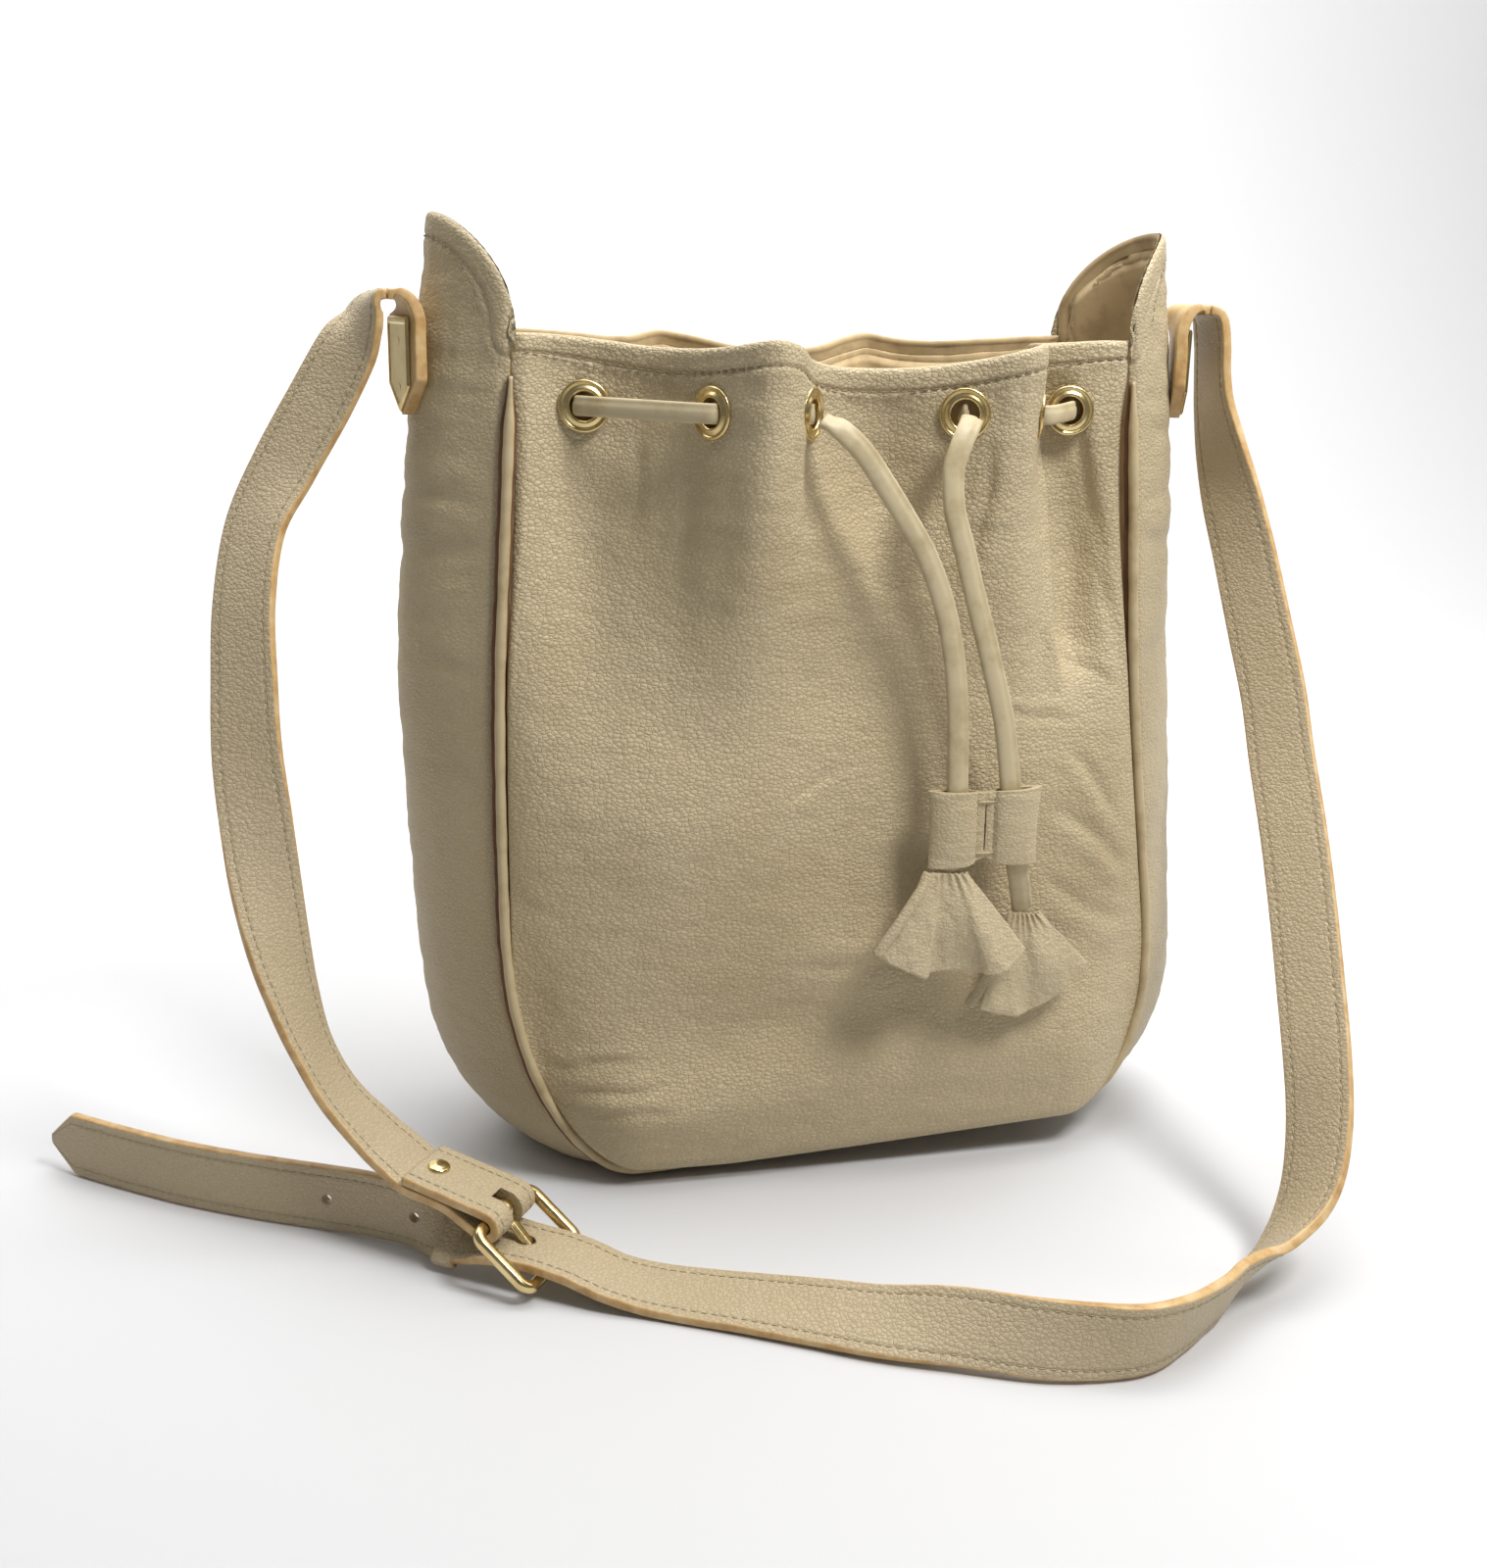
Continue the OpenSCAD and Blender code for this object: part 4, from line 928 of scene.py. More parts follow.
def build_gusset():
    """One long strip for both sides and the floor, with a hemmed ear at each end."""
    rows = np.concatenate([np.linspace(0, 1.4, 34), np.linspace(1.45, GUSSET_ROWS - 1.45, 560),
                           np.linspace(GUSSET_ROWS - 1.4, GUSSET_ROWS, 34)])
    reach = 0.03
    t = np.concatenate([[0, 0.0024, 0.007, 0.014, 0.024], np.linspace(0.04, 1.96, 90),
                        2 - np.array([0.024, 0.014, 0.007, 0.0024, 0])]) - 1
    from_rim = np.minimum(rows, GUSSET_ROWS - rows)[:, None]
    t = t[None, :] * (1 - reach * smooth(0.3, 1.4, from_rim))
    p = gusset_point(rows[:, None], t)
    n = -grid_normals(p)
    n *= np.sign(-n[200, t.shape[1] // 2, 0])
    edge_line = gusset_point(0.0, np.linspace(-1, 1, 500))
    far_line = gusset_point(float(GUSSET_ROWS), np.linspace(-1, 1, 500))
    distance = np.full(p.shape[:2], 99.0)
    near = p[..., 2] > RIM_Z - 30
    flat = p[near]
    line = np.where(flat[:, :1] < 0, 0, 1)
    for k, edge in enumerate((edge_line, far_line)):
        chosen = np.where(line[:, 0] == k)[0]
        gaps = np.linalg.norm(flat[chosen][:, None] - edge[None], axis=-1).min(axis=1)
        index = np.argwhere(near)[chosen]
        distance[index[:, 0], index[:, 1]] = gaps
    across = (1 - np.abs(t)) * seam_y(p[..., 2]) - reach * seam_y(p[..., 2])
    seam = np.maximum(across, 0) * 1.15
    above = smooth(RIM_Z - 14, RIM_Z - 4, p[..., 2])
    x, y, z = p[..., 0], p[..., 1], p[..., 2]
    folds = 0
    for cz, slope, depth, wide in GUSSET_FOLDS:
        off = z - cz - slope * y
        folds = folds + depth * (0.7 * bump(off, 3 * wide, 2 * wide) - bump(off, 0, wide))
    lift = hem_shape(distance) + (drape(p, 5) + folds) * smooth(0, 12, np.minimum(seam, distance))
    dip = seam_dip(seam) * (1 - above)
    p = p + n * (lift - dip)[..., None]
    thick = LEATHER_T + 1.2 * (1 - smooth(HEM_WIDTH - 1, HEM_WIDTH + 1.5, distance))
    piece = shell("shaded_gusset_leather", p, thick, np.minimum(seam, distance),
                  [shaded_gusset_leather, lining_leather], None, 1)
    seat(piece, "bag", "body_leather", "gusset")
    return p


def ear_stitches():
    """Stitches a constant distance inside the edge of each ear."""
    t = np.linspace(-0.985, 0.985, 260)
    for label, row in (("left", 0.0), ("right", float(GUSSET_ROWS))):
        edge = gusset_point(row, t)
        along_edge = tangents(edge)
        side = -1 if label == "left" else 1
        n = np.broadcast_to(np.array((side, 0.0, 0.0)), edge.shape)
        inward = unit(np.cross(n, along_edge))
        inward *= np.sign(-inward[130, 2])
        line_t = np.clip(t + inward[:, 1] * HEM_STITCH / seam_y(340), -0.94, 0.94)
        line_z = edge[:, 2] + inward[:, 2] * HEM_STITCH
        low = line_z > RIM_Z - 12
        line_t, line_z = line_t[low], line_z[low]
        k = 1 - np.abs(line_t) ** CREASE_POWER
        half = mix(seam_half(line_z), crease_half(line_z), k)
        line = np.stack([side * half, line_t * seam_y(line_z), line_z], -1)
        out = np.stack([np.full(len(line), float(side)), line_t * 0.9, 0 * line_t], -1)
        piece = stitches("ear_stitches_" + label, line + unit(out) * 0.25, unit(out),
                         [seam_thread])
        seat(piece, "bag", "thread")


def build_piping(name, face, node):
    """Round piping in a seam, over a dark strip of painted shade seen in the gap beside it."""
    rows = np.linspace(0.9, GUSSET_ROWS - 0.9, PIPING_RINGS)
    p = gusset_point(rows, float(face)) + np.array((0, face * 0.6, 0))
    w, n = frames(p, (0, face, 0))
    across, out = circle(16)
    ends = np.minimum(np.arange(PIPING_RINGS), np.arange(PIPING_RINGS)[::-1])
    size = PIPING_R * (0.35 + 0.65 * smooth(0, 14, ends))
    size = size * (1 + 0.04 * np.sin(rows * 3.1) + 0.03 * np.sin(rows * 7.7))
    profile = np.stack([across, out], -1)[None] * size[:, None, None]
    piece = sweep(name, p, w, n, profile, [piping_leather])
    seat(piece, "bag", "piping_leather", node)
    # Painted shade: a flat dark strip under the piping, seen in the gaps beside it as the shade in
    # the seam.
    flat = np.stack([across, out * 2.9], -1)[None] * (size / PIPING_R)[:, None, None]
    base = p - np.array((0, face * 2.2, 0))
    seat(sweep(name + "_gap_shade", base, w, n, flat, [seam_shade]), "bag", "piping_leather")


def lining_shell(name, points, node):
    edge = edge_grid(*points.shape[:2]) * LINING_STEP
    piece = shell(name, points, np.full(edge.shape, LINING_T), edge, [lining_leather])
    seat(piece, "bag", "lining", node)


def build_lining():
    """Separate lining inside each panel and inside the gusset."""
    near = LEATHER_T + LINING_GAP
    for name, point, face, node in (("front_lining", front_point, -1, "lining_front"),
                                    ("back_lining", back_point, 1, "lining_back")):
        q = np.linspace(0.02, 0.98, 110)[None, :]
        v = np.linspace(0.02, 1 - 9 / RIM_Z, 90)[:, None]
        p = point(q, v)
        p = p + outward(p, face) * (drape(p, face) - near)[..., None]
        roll_out(p, q + 0 * v, v + 0 * q, face)
        lining_shell(name, p if face < 0 else p[:, ::-1], node)
    rows = np.linspace(0.4, GUSSET_ROWS - 0.4, 240)[:, None]
    p = gusset_point(rows, np.linspace(-0.88, 0.88, 40)[None, :])
    n = grid_normals(p)
    p = p + n * np.sign(n[40, 20, 0]) * near
    lining_shell("side_lining", p[:, ::-1], "lining_gusset")


# ---------------------------------------------------------------- eyelets and lace


def eyelet_profile():
    """Rolled flange with a bead at its rim and a rounded throat."""
    r, R = EYELET_BORE_R, EYELET_FLANGE_R
    throat = [(r + 0.75 - 0.75 * math.cos(a), 1.1 + 0.85 * math.sin(a))
              for a in np.radians(np.linspace(0, 100, 7))]
    dish = [(r + 1.5, 1.75), (r + 2.1, 1.25), (R - 1.4, 1.1)]
    bead = [(R - 0.75 + 0.75 * math.cos(a), 0.95 + 0.7 * math.sin(a))
            for a in np.radians(np.linspace(130, -60, 9))]
    under = [(R - 0.9, 0.1), (r + 0.8, 0.1), (r + 0.8, -3.2), (r, -3.2)]
    return throat + dish + bead + under


def build_eyelets(name, point, face, shares, node):
    """All eyelets of one rim."""
    points, faces = lathe(eyelet_profile(), 56)
    all_points, all_faces = [], []
    for share in shares:
        at, axis = eyelet_frame(point, face, share)
        turned = points @ axes_of(axis).T + at
        all_faces.append(faces[:, ::-1] + len(points) * len(all_points))
        all_points.append(turned)
    piece = add_mesh(name, np.concatenate(all_points), np.concatenate(all_faces).tolist(),
                     [eyelet_metal])
    seat(piece, "bag", "eyelet_metal", node)


def lace_profile(width, thick, groove):
    """Flat folded strip: round at the fold, thinner at the sewn side."""
    x, y = circle(28)
    x = squared(x, 0.75) * width / 2
    y = squared(y, 0.8) * thick / 2
    y = y * (1 - 0.22 * smooth(0, width / 2, x))
    y = y - np.sign(y) * groove * bump(x, width * 0.27, width * 0.07)
    return np.stack([x, y], -1)


def lace_at(point, face, share, off):
    at, n = eyelet_frame(point, face, share)
    return at + n * off


def lace_loop(point, face, first, last):
    """Lace out through one eyelet and back in through the next."""
    steps = (LACE_IN, LACE_MID, LACE_OUT)
    return ([lace_at(point, face, first, off) for off in steps]
            + [lace_at(point, face, last, off) for off in steps[::-1]])


def build_mouth_lace():
    """The drawstring's run in and out of the eyelets and round the inside of the mouth."""
    f, b = FRONT_EYELETS, BACK_EYELETS
    route = [lace_at(front_point, -1, f[2], off) for off in (1, LACE_IN)]
    route += lace_loop(front_point, -1, f[1], f[0])
    route += [(-112, -22, 296), (-126, 0, 297), (-112, 22, 296)]
    for k in (0, 2, 4):
        route += lace_loop(back_point, 1, b[k], b[k + 1])
    route += [(112, 22, 296), (126, 0, 297), (112, -22, 296)]
    route += lace_loop(front_point, -1, f[5], f[4])
    route += [lace_at(front_point, -1, f[3], off) for off in (LACE_IN, 1)]
    p = along(route, even(route, 1.2, 6000))
    w, n = frames(p, (0, 0, 1))
    piece = sweep("mouth_lace", p, w, n, lace_profile(7.0, 3.0, 0.3), [lace_leather])
    seat(piece, "bag", "lace_leather", "drawstring_mouth")


def build_tail(name, route, node):
    """A hanging end of the drawstring, put under the pull cords' body."""
    p = along(route, even(route, 0.9))
    w, n = frames(p, (1, 0, 0))
    piece = sweep(name, p, w, n, lace_profile(LACE_W, LACE_T, 0.35), [lace_leather])
    seat(piece, "pull_cords", "lace_leather", node)
    line = p + w * 2.2 - n * 1.62
    seat(stitches(name + "_stitches", line, -n, [strap_thread], long=2.2, pitch=3.0, wide=0.5),
         "pull_cords", "thread")


def slide_face(x, rise):
    """Depth of the sleeve's face: two round tunnels and a sunk band between them."""
    w, d, _ = SLIDE_SIZE
    side = np.clip((np.abs(x) - SLIDE_BAND) / (w / 2 - SLIDE_BAND), 0, 1)
    lobe = np.sin(math.pi * np.clip(side, 0, 1) ** 0.8) ** 0.55
    band = 1.9 - 0.9 * bump(x, 0, 0.45)
    end = np.sqrt(np.clip(1 - (np.abs(x) / (w / 2)) ** 8, 0, 1))
    depth = np.where(np.abs(x) < SLIDE_BAND, band, mix(1.7, d / 2, lobe) * end)
    return np.maximum(depth * (1 - 0.1 * rise * rise), 0.25)


def build_slide():
    """Leather sleeve with two tunnels, sewn flat along its middle."""
    w, d, h = SLIDE_SIZE
    up = np.linspace(-1, 1, 44)[:, None]
    a = np.linspace(math.pi, 0, 90)
    x = np.cos(a)[None, :] * w / 2
    flare = 0.97 + 0.035 * up * up + 0.02 * up
    tuck = (2.6 * bump(x, 0, 5) * (1 - smooth(-1, 0.1, up))
            - 0.8 * bump(x, 0, 4) * smooth(0.5, 1, up))
    z = up * h / 2 + tuck + 0.7 * up * (np.abs(x) / (w / 2)) ** 4
    depth = slide_face(x, up) + 0 * up
    place = np.stack([x + 0 * up, depth, z], -1)
    wrinkle = 0.35 * noise_at(place, (9, 9, 2.2), 5.5) * (0.4 + np.abs(up) ** 2)
    front = np.stack([x * flare, -depth - wrinkle, z], -1)
    rear = np.stack([x * flare, depth * 0.8, z], -1)[:, ::-1]
    outer = np.concatenate([front, rear], 1)
    inner = outer * np.array((1 - SLIDE_WALL * 2 / w, 1, 1))
    inner[..., 1] = np.sign(outer[..., 1]) * np.maximum(np.abs(outer[..., 1]) - SLIDE_WALL, 0.12)
    rows, cols = outer.shape[:2]
    points = np.concatenate([outer.reshape(-1, 3), inner.reshape(-1, 3)])
    count = rows * cols
    faces = grid_faces(rows, cols, wrap=True).tolist()
    faces += grid_faces(rows, cols, count, flip=True, wrap=True).tolist()
    for j in range(cols):
        k = (j + 1) % cols
        top = (rows - 1) * cols
        faces.append([j, j + count, k + count, k])
        faces.append([top + j, top + k, top + k + count, top + j + count])
    turn = turn_of(SLIDE_TILT, "X")
    points = points @ turn.T + np.array(SLIDE_AT)
    index = [0] * ((rows - 1) * cols) + [1] * ((rows - 1) * cols) + [0] * (2 * cols)
    piece = add_mesh("cord_slide_leather", points, faces, [tassel_leather, lining_leather], index,
                     merge=0.001)
    soften(piece, 0.45, 2, 55)
    seat(piece, "toggle", "tassel_leather", "cord_slide")
    zs = np.linspace(-h / 2 + 3.6, h / 2 - 2.2, 30)
    out = np.array((0, -1.0, 0)) @ turn.T
    # Painted shade: the gap row is one long dark strip down the sunk middle band, standing for the
    # shade in it.
    for label, place, deep in (("left", -3.35, 1.85), ("right", 3.35, 1.85), ("gap", 0.0, 1.25)):
        line = np.stack([np.full(30, place), np.full(30, -deep), zs], -1) @ turn.T
        line = line + np.array(SLIDE_AT)
        n = np.broadcast_to(out, line.shape)
        if label == "gap":
            made = stitches("slide_gap_shade", line, n, [seam_shade], long=h - 6, pitch=h - 5, wide=0.7)
        else:
            made = stitches("slide_row_" + label, line, n, [strap_thread], long=1.7, pitch=2.4,
                            wide=0.45)
        seat(made, "toggle", "thread")
    for label, rise in (("top", h * 0.36), ("low", -h * 0.33)):
        line = np.array([(-3.9, -2.3, rise), (3.9, -2.3, rise)]) @ turn.T + np.array(SLIDE_AT)
        n = np.broadcast_to(out, line.shape)
        made = stitches("slide_staple_" + label, line, n, [lace_leather], long=7.6, pitch=7.8,
                        wide=0.75)
        nodes = ("slide_staples",) if label == "top" else ()
        seat(made, "toggle", "thread", *nodes)


# Lower edge of each tassel from left to right: x, z below the knot, and depth in front of it
LEFT_FAN = [(-26, -30, 4), (-22, -32.5, 6.5), (-15, -36, 8), (-9, -38.6, 8.6), (-6.6, -39.2, 7),
            (-5, -38.8, 3.6), (1, -38.2, 3.2), (8, -38.6, 3.6), (13, -39, 5.2), (17, -39.4, 8.2),
            (22, -38.6, 8.8), (27, -36, 7), (33, -31.5, 3.6)]
RIGHT_FAN = [(-18, -36, 6.5), (-13, -38, 7), (-8, -39.6, 6.8), (-2, -41, 6), (1.5, -40.6, 4.4),
             (4, -39.8, 3.6), (9, -37.6, 4), (14, -34.6, 4.4), (19, -31, 4.2), (24, -26.6, 3.4),
             (27.5, -22, 2.4)]
# Rolled left edge of each tassel, with the same three numbers
LEFT_ROLL = [(-7, -1.5, 2.6), (-12, -9, 3.6), (-18, -18, 4.2), (-23.5, -26, 4.2),
             (-25.8, -29.6, 4)]
RIGHT_ROLL = [(-5, -10, 3), (-11, -20, 3.6), (-17, -29, 4.2), (-21.5, -35.2, 4.2)]


def build_tassel(name, top, fan, knot, roll, body, node):
    """Leather fan gathered at its knot, with a rolled edge on its left."""
    u = edge_steps(1.0, 0.008, (0, 0.003, 0.008, 0.015, 0.025))
    v = edge_steps(1.0, 0.02, (0, 0.004, 0.01, 0.02, 0.035))[:, None]
    low = along(fan, u)[None]
    start = np.stack([mix(-knot, knot, u), 0.5 * np.cos(math.pi * u), 0 * u + 2.6], -1)[None]
    spread = v[..., None] ** np.array((0.92, 1.0, 0.7))
    p = mix(start, low, spread)
    swell = 2.4 * np.sin(math.pi * v) ** 1.5 * bump(u[None], 0.62, 0.2)
    p = np.stack([p[..., 0], -(p[..., 2] + swell), p[..., 1]], -1)
    folds = 0.45 * noise_at(p, (5, 6, 9), 2.2) + 0.3 * noise_at(p, (3, 6, 3), 6.1)
    neck = 0.5 * np.sin(u[None] * 40) * (1 - smooth(0, 0.3, v))
    p[..., 1] += folds * smooth(0, 0.3, v) + neck
    p = p + np.array(top)
    edge = np.minimum(np.minimum(u, 1 - u)[None] * 50, np.minimum(v, 1 - v) * 38)
    piece = shell(name, p[::-1], np.full(edge.shape, 1.5), edge[::-1], [tassel_leather])
    seat(piece, body, "tassel_leather", node)
    line = along([(x, -depth, z) for x, z, depth in roll], np.linspace(0, 1, 60)) + np.array(top)
    w, n = frames(line, (0, 1, 0))
    a = np.linspace(0, 2 * math.pi, 20, endpoint=False)
    swirl = np.stack(circle(20), -1) * (1.95 + 0.12 * np.sin(a * 3))[:, None]
    size = (0.55 + 0.45 * smooth(0, 14, np.arange(60)))[:, None, None]
    tube = sweep(name + "_roll", line, w, n, swirl[None] * size, [tassel_leather])
    seat(tube, body, "tassel_leather")
    return [piece, tube]


# ---------------------------------------------------------------- strap


def strap_profile(thick=STRAP_T):
    """Cross-section of the strap, with part numbers: 0 for leather and 1 for the painted edges."""
    half, h, r, line = STRAP_W / 2, thick / 2, 0.55, STRAP_LINE
    xs = np.concatenate([np.linspace(-half + r, -half + line - 0.9, 4),
                         -half + line + np.array([-0.5, -0.25, 0, 0.25, 0.5]),
                         np.linspace(-half + line + 1.2, half - line - 1.2, 9),
                         half - line + np.array([-0.5, -0.25, 0, 0.25, 0.5]),
                         np.linspace(half - line + 0.9, half - r, 4)])
    groove = 0.28 * (bump(xs, -half + line, 0.35) + bump(xs, half - line, 0.35))
    crown = h + 0.18 * (1 - (xs / half) ** 4) - groove
    upper = np.stack([xs, crown], -1)
    edge_a = [(half - r * 0.3, h - r * 0.3), (half, h - r), (half + 0.05, 0), (half, -h + r),
              (half - r * 0.3, -h + r * 0.3)]
    lower = np.stack([xs[::-1], -crown[::-1]], -1)
    edge_b = [(-half + r * 0.3, -h + r * 0.3), (-half, -h + r), (-half - 0.05, 0),
              (-half, h - r), (-half + r * 0.3, h - r * 0.3)]
    points = np.concatenate([upper, edge_a, lower, edge_b])
    n = len(xs)
    parts = [0] * (n - 1) + [1] * 6 + [0] * (n - 1) + [1] * 6
    return points, parts


def strap_frames(run, step):
    """Points, tangents, directions across and normals at even steps along a run of stations."""
    places = [s[0] for s in run]
    across = [s[1] for s in run]
    s = even(places, step, 6000)
    p = along(places, s)
    w, n = frames(p, along(across, s))
    return p, w, n


def strap_stitches(name, p, w, n):
    """Rows of stitches along both edges of the strap, on both faces."""
    for side in (-1, 1):
        for face in (-1, 1):
            row = p + w * side * (STRAP_W / 2 - STRAP_LINE) + n * face * (STRAP_T / 2 - 0.05)
            label = ("a" if side < 0 else "b") + ("n" if face < 0 else "p")
            seat(stitches(f"{name}_{label}", row, n * face, [strap_thread], long=2.5,
                          pitch=3.5, wide=0.5), "strap", "thread")


def fold_up():
    """Direction from the lower layer of the folded end to the upper one."""
    return unit(np.cross(BAR_DIR, FOLD_DIR))


def fold_point(angle, reach):
    """Point of the strap at an angle round the hinge bar, moved back along the fold."""
    fold, a = unit(FOLD_DIR), math.radians(angle)
    return HINGE_AT + fold_up() * FOLD_R * math.sin(a) - fold * FOLD_R * math.cos(a) + fold * reach


def cut_holes(piece, cutters):
    """Cuts closed shapes out of a piece; each is a pair of points in mm and faces."""
    for points, faces in cutters:
        cutter = add_mesh("hole_shape", points, faces, [], flat=True)
        change = piece.modifiers.new("hole", "BOOLEAN")
        change.operation = "DIFFERENCE"
        change.object = cutter
        made = piece.evaluated_get(bpy.context.evaluated_depsgraph_get())
        mesh = bpy.data.meshes.new_from_object(made)
        piece.modifiers.clear()
        old, piece.data = piece.data, mesh
        bpy.data.meshes.remove(old)
        bpy.data.meshes.remove(cutter.data)


def rod(middle, direction, radius, long, sides=28):
    """Points and faces of a closed rod along a direction."""
    x, y = circle(sides)
    ring = np.stack([x * radius, y * radius, 0 * x], -1)
    rings = np.concatenate([ring - (0, 0, long / 2), ring + (0, 0, long / 2)])
    faces = [[k, (k + 1) % sides, sides + (k + 1) % sides, sides + k] for k in range(sides)]
    faces += [list(range(sides))[::-1], list(range(sides, 2 * sides))]
    return rings @ axes_of(direction).T + np.array(middle, float), faces


def build_short_strap():
    """Strap half that is folded back over the buckle's hinge bar, with a slot for the prong."""
    bar = tuple(unit(BAR_DIR))
    lower = [(tuple(fold_point(-90, r) + fold_up() * rise), bar) for r, rise in FOLD_RISE]
    turn = [(tuple(fold_point(a, 0)), bar) for a in np.arange(-68, 69, 22.5)]
    upper = [(tuple(fold_point(90, r)), bar) for r in (1, 8, 16, 24, FOLD_LEN)]
    p, w, n = strap_frames(SHORT_RUN + lower + turn + upper, 1.2)
    profile, parts = strap_profile()
    piece = sweep("short_strap", p, w, n, profile, [strap_leather, edge_paint], parts)
    box = np.array([(a, b, c) for a in (-6, 14) for b in (-3, 3) for c in (-10, 10)])
    sides = [[0, 1, 3, 2], [4, 6, 7, 5], [0, 4, 5, 1], [2, 3, 7, 6], [0, 2, 6, 4], [1, 5, 7, 3]]
    cut_holes(piece, [(box @ buckle_axes().T + HINGE_AT, sides)])
    seat(piece, "strap", "strap_leather", "strap_short")
    strap_stitches("short_strap_stitches", p, w, n)


def build_long_strap():
    """Strap half that runs over the floor, through the buckle, to its pointed tail."""
    p, w, n = strap_frames(LONG_RUN, 1.6)
    profile, parts = strap_profile()
    run = run_of(p)
    left = run[-1] - run
    narrow = np.clip(0.16 + 0.84 * left / 11, 0, 1)
    profile = np.stack([profile[None, :, 0] * narrow[:, None],
                        np.broadcast_to(profile[:, 1], (len(p), len(profile)))], -1)
    piece = sweep("long_strap", p, w, n, profile, [strap_leather, edge_paint], parts)
    slope = math.radians(PRONG_SLOPE)
    ahead = buckle_axes() @ np.array((math.cos(slope), 0, -math.sin(slope)))
    cut_holes(piece, [rod(at, SPARE_HOLE_DIR, 2.0, 12) for at in SPARE_HOLES]
              + [rod(HINGE_AT + ahead * PRONG_HOLE_X, ahead, 2.9, 16)])
    seat(piece, "strap", "strap_leather", "strap_long")
    keep = left > 13
    strap_stitches("long_strap_stitches", p[keep], w[keep], n[keep])


def build_tab(side, node):
    """Thick strap end with a pointed tip, sewn to the side crease."""
    flip = np.array((-side, 1, 1))
    p, w, n = strap_frames(TAB_RUN, 0.7)
    profile, parts = strap_profile(TAB_T)
    run = run_of(p)
    narrow = np.clip(0.06 + 0.94 * run / 12.3, 0, 1)[:, None]
    thin = mix(1, STRAP_T / TAB_T, smooth(0.75, 1, run / run[-1]))[:, None]
    profile = np.stack([profile[None, :, 0] * narrow, profile[None, :, 1] * thin], -1)
    name = "tab_left" if side < 0 else "tab_right"
    piece = sweep(name, p * flip, w * flip, n * flip, profile, [tab_leather, edge_paint], parts,
                  merge=0.001)
    seat(piece, "bag", "edge_leather", node)


def build_plate(side, node):
    """Pointed plate with a bevelled border and a sunk face."""
    w, h, t = PLATE_SIZE[0] / 2, PLATE_SIZE[1] / 2, PLATE_SIZE[2]
    outline = np.array([(-h, -w), (h - PLATE_POINT, -w), (h, 0), (h - PLATE_POINT, w), (-h, w)])
    centre = np.array((-1.5, 0))
    levels = [(1.0, 0.0), (1.0, t - 0.7), (0.975, t - 0.3), (0.93, t), (0.86, t),
              (0.83, t - 0.35), (0.0, t - 0.35)]
    points = []
    for k, z in levels:
        shrink = outline if k == 1.0 else centre + (outline - centre) * k
        points.append(np.column_stack([shrink, np.full(5, z)]))
    points = np.array(points)
    rows, cols = points.shape[:2]
    faces = grid_faces(rows, cols, wrap=True).tolist() + [list(range(cols))[::-1]]
    flat = points.reshape(-1, 3)
    turn = turn_of(PLATE_TURN, "Z") @ turn_of(180, "Z") @ turn_of(90, "Y")
    placed = (flat + np.array((0, 0, 0.15))) @ turn.T + np.array(PLATE_MID)
    placed = placed * np.array((-side, 1, 1))
    name = "plate_face_left" if side < 0 else "plate_face_right"
    piece = add_mesh(name, placed, faces, [gold_metal], merge=0.01, flat=True)
    soften(piece, 0.25, 3, 20)
    seat(piece, "bag", "gold_metal", node)


def build_keeper():
    """Leather loop round the tail of the strap."""
    t = unit(KEEPER_RUN)
    up = np.array(KEEPER_UP)
    w = unit(up - t * (up @ t))
    n = np.cross(t, w)
    half, thick = (STRAP_W + 2.2) / 2, 2.6
    x, y = circle(64)
    x, y = squared(x, 0.35) * half, squared(y, 0.45) * thick
    grow = [(-4.5, -0.45), (-4.2, 0.15), (-3.6, 0.5), (0, 0.62), (3.6, 0.5), (4.2, 0.15),
            (4.5, -0.45)]
    shrink = [(4.5, -0.75), (0, -0.85), (-4.5, -0.75)]
    rings = []
    for along_t, g in grow + shrink:
        ring = (np.array(KEEPER_AT) + t * along_t + w * (x * (half + g) / half)[:, None]
                + n * (y * (thick + g) / thick)[:, None])
        rings.append(ring)
    rings.append(rings[0])
    rings = np.array(rings)
    rows, cols = rings.shape[:2]
    parts = np.repeat([1, 0, 0, 0, 0, 1, 1, 1, 1, 1], cols)
    faces = grid_faces(rows, cols, wrap=True).tolist()
    piece = add_mesh("keeper_loop", rings.reshape(-1, 3), faces, [strap_leather, edge_paint],
                     parts, merge=0.01)
    seat(piece, "strap", "strap_leather", "strap_keeper")


# ---------------------------------------------------------------- buckle


def buckle_axes():
    """Columns: from the hinge bar to the end bar, along the bars, and up off the frame."""
    x = unit(FRAME_DIR)
    y = unit(BAR_DIR)
    z = unit(np.cross(x, y))
    return np.stack([x, y, z], 1)


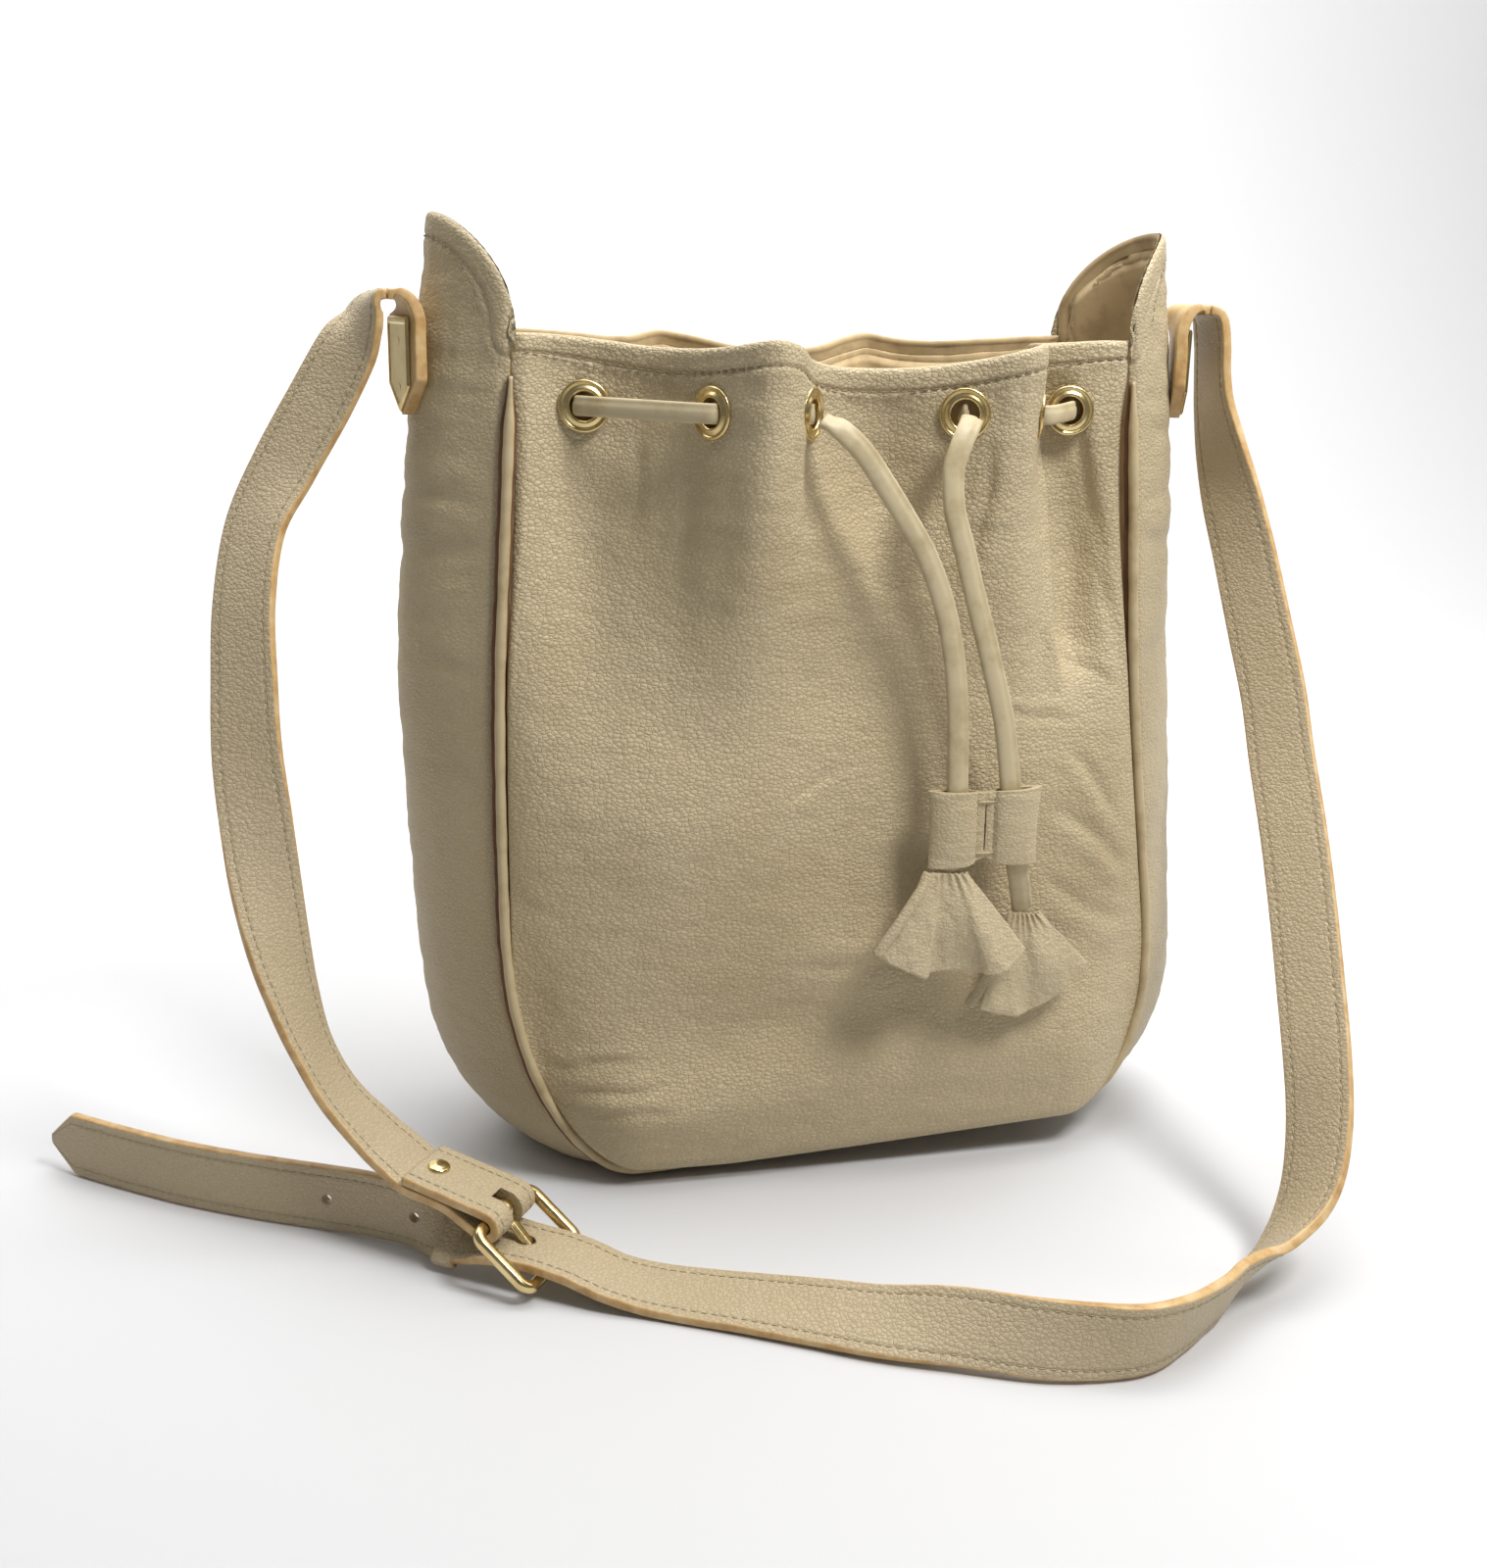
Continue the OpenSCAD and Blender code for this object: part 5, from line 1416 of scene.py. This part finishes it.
def build_buckle():
    """Rectangular wire frame with round corners."""
    r = 4.2
    w = BUCKLE_W / 2
    corners = [(BUCKLE_L - r, w - r, 0), (r, w - r, 90), (r, r - w, 180),
               (BUCKLE_L - r, r - w, 270)]
    path = []
    for cx, cy, start in corners:
        for a in np.radians(np.linspace(start, start + 90, 14)):
            path.append((cx + r * math.cos(a), cy + r * math.sin(a), 0))
    path = np.array(path)
    dense = []
    for k in range(len(path)):
        a, b = path[k], path[(k + 1) % len(path)]
        count = max(1, int(np.linalg.norm(b - a) / 1.5))
        dense.extend(a + (b - a) * m / count for m in range(count))
    path = np.array(dense)
    t = unit(np.roll(path, -1, 0) - np.roll(path, 1, 0))
    side = np.cross(t, (0, 0, 1))
    x, z = circle(24)
    x = squared(x, 0.85)[None, :, None] * WIRE_R
    z = squared(z, 0.85)[None, :, None] * WIRE_R
    rings = path[:, None] + side[:, None] * x + np.array((0, 0, 1.0)) * z
    rings = np.concatenate([rings, rings[:1]])
    points = rings.reshape(-1, 3) @ buckle_axes().T + HINGE_AT
    faces = grid_faces(rings.shape[0], rings.shape[1], wrap=True).tolist()
    piece = add_mesh("buckle_wire", points, faces, [gold_metal], merge=0.01)
    seat(piece, "buckle", "gold_metal", "buckle_frame")


def build_prong():
    """Flat prong with a rolled eye round the hinge bar."""
    a = np.radians(np.linspace(80, 360 - 20, 30))
    r = WIRE_R + 1.1
    eye = np.stack([r * np.cos(a), np.zeros(30), -r * np.sin(a)], -1)
    fall = math.sin(math.radians(PRONG_SLOPE))
    straight = np.array([(x, 0, -x * fall + 0.4) for x in np.linspace(5, BUCKLE_L + 1, 24)])
    path = np.concatenate([eye[::-1], straight])
    w, n = frames(path, (0, 1, 0))
    half, thick = 2.0, 0.9
    profile = np.array([(-half, -thick + 0.3), (-half + 0.3, -thick), (half - 0.3, -thick),
                        (half, -thick + 0.3), (half, thick - 0.3), (half - 0.3, thick),
                        (-half + 0.3, thick), (-half, thick - 0.3)])
    centre = path @ buckle_axes().T + HINGE_AT
    piece = sweep("prong_blade", centre, w @ buckle_axes().T, n @ buckle_axes().T, profile,
                  [gold_metal])
    seat(piece, "prong", "gold_metal", "buckle_prong")


def build_rivet():
    """Domed rivet through the folded end."""
    profile = [(0.001, -1.5), (1.5, -1.5), (1.5, 0.1), (4.0, 0.1), (4.05, 0.45), (3.85, 0.95),
               (3.3, 1.35), (2.9, 1.38), (2.6, 1.5), (1.8, 1.85), (0.9, 2.02), (0.001, 2.06)]
    points, faces = lathe(profile, 48)
    at = fold_point(90, RIVET_REACH) + fold_up() * STRAP_T / 2
    points = points @ axes_of(fold_up()).T + at
    piece = add_mesh("rivet_dome", points, faces[:, ::-1].tolist(), [gold_metal], merge=0.01)
    seat(piece, "strap", "gold_metal", "buckle_rivet")


# ---------------------------------------------------------------- room


def build_room():
    """White sweep and soft studio lamps."""
    n = Nodes("paper")
    n.shader.inputs["Base Color"].default_value = (0.62, 0.62, 0.625, 1)
    n.shader.inputs["Roughness"].default_value = 0.55
    grain = n.add("ShaderNodeTexNoise", Scale=900.0, Detail=2.0)
    n.link(n.coords(), grain.inputs["Vector"])
    n.link(n.bump(grain.outputs["Fac"], 0.03, 0.0005), n.shader.inputs["Normal"])
    rise = [(y, 0.0) for y in np.linspace(-2600, 900, 12)]
    rise += [(900 + 700 * math.sin(a), 700 - 700 * math.cos(a))
             for a in np.radians(np.linspace(8, 90, 12))]
    rise += [(1600, 900), (1600, 3200)]
    xs = np.linspace(-3200, 3200, 8)
    points = np.array([[(x, y, z - 0.15) for x in xs] for y, z in rise])
    floor = add_mesh("floor_sweep", points, grid_faces(len(rise), len(xs)).tolist(), [n.material])
    world = bpy.data.worlds.new("world")
    world.use_nodes = True
    world.node_tree.nodes["Background"].inputs["Color"].default_value = (1, 1, 1, 1)
    world.node_tree.nodes["Background"].inputs["Strength"].default_value = 0.16
    bpy.context.scene.world = world
    # Name, place, aim, size in mm and power in watts
    lamps = [("key", (430, -640, 1200), (20, -40, 170), 340, 14.0),
             ("top", (150, -60, 1500), (0, -60, 0), 800, 9.5),
             ("wall", (300, 700, 1500), (450, 1600, 700), 2400, 48.0)]
    for name, place, aim, size, power in lamps:
        data = bpy.data.lights.new(name, "AREA")
        data.shape = "SQUARE"
        data.size = size * MM
        data.energy = power
        lamp = bpy.data.objects.new(name, data)
        bpy.context.scene.collection.objects.link(lamp)
        lamp.location = Vector(place) * MM
        lamp.rotation_euler = (Vector(aim) - Vector(place)).to_track_quat("-Z", "Y").to_euler()
    bpy.context.scene.view_settings.view_transform = "Standard"


# ---------------------------------------------------------------- assembly

place_camera()

left_tassel = build_tassel("left_tassel_fold", (35.5, -81, 129.8), LEFT_FAN, 7.5, LEFT_ROLL,
                           "left_tassel", "tassel_left")
right_tassel = build_tassel("right_tassel_fold", (71.5, -71.2, 108.4), RIGHT_FAN, 5.5, RIGHT_ROLL,
                            "right_tassel", "tassel_right")
build_tail("left_tail", TAIL_LEFT, "drawstring_tail_left")
build_tail("right_tail", TAIL_RIGHT, "drawstring_tail_right")
build_slide()

build_panel("front_leather", front_point, -1, FRONT_EYELETS, "front_panel")
build_panel("back_leather", back_point, 1, BACK_EYELETS, "back_panel")
build_gusset()
ear_stitches()
build_piping("front_cord", -1, "front_piping")
build_piping("back_cord", 1, "back_piping")
build_lining()
build_eyelets("front_eyelet_rings", front_point, -1, FRONT_EYELETS, "eyelets_front")
build_eyelets("back_eyelet_rings", back_point, 1, BACK_EYELETS, "eyelets_back")
build_mouth_lace()

for side, tag in ((-1, "left"), (1, "right")):
    build_tab(side, "strap_tab_" + tag)
    build_plate(side, "plate_" + tag)
build_short_strap()
build_long_strap()
build_keeper()
build_buckle()
build_prong()
build_rivet()

for node, material in (("washers_front", eyelet_metal), ("washers_back", eyelet_metal),
                       ("plate_rivets_left", gold_metal), ("plate_rivets_right", gold_metal)):
    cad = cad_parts[node]
    cad.data.materials.clear()
    cad.data.materials.append(material)

build_room()
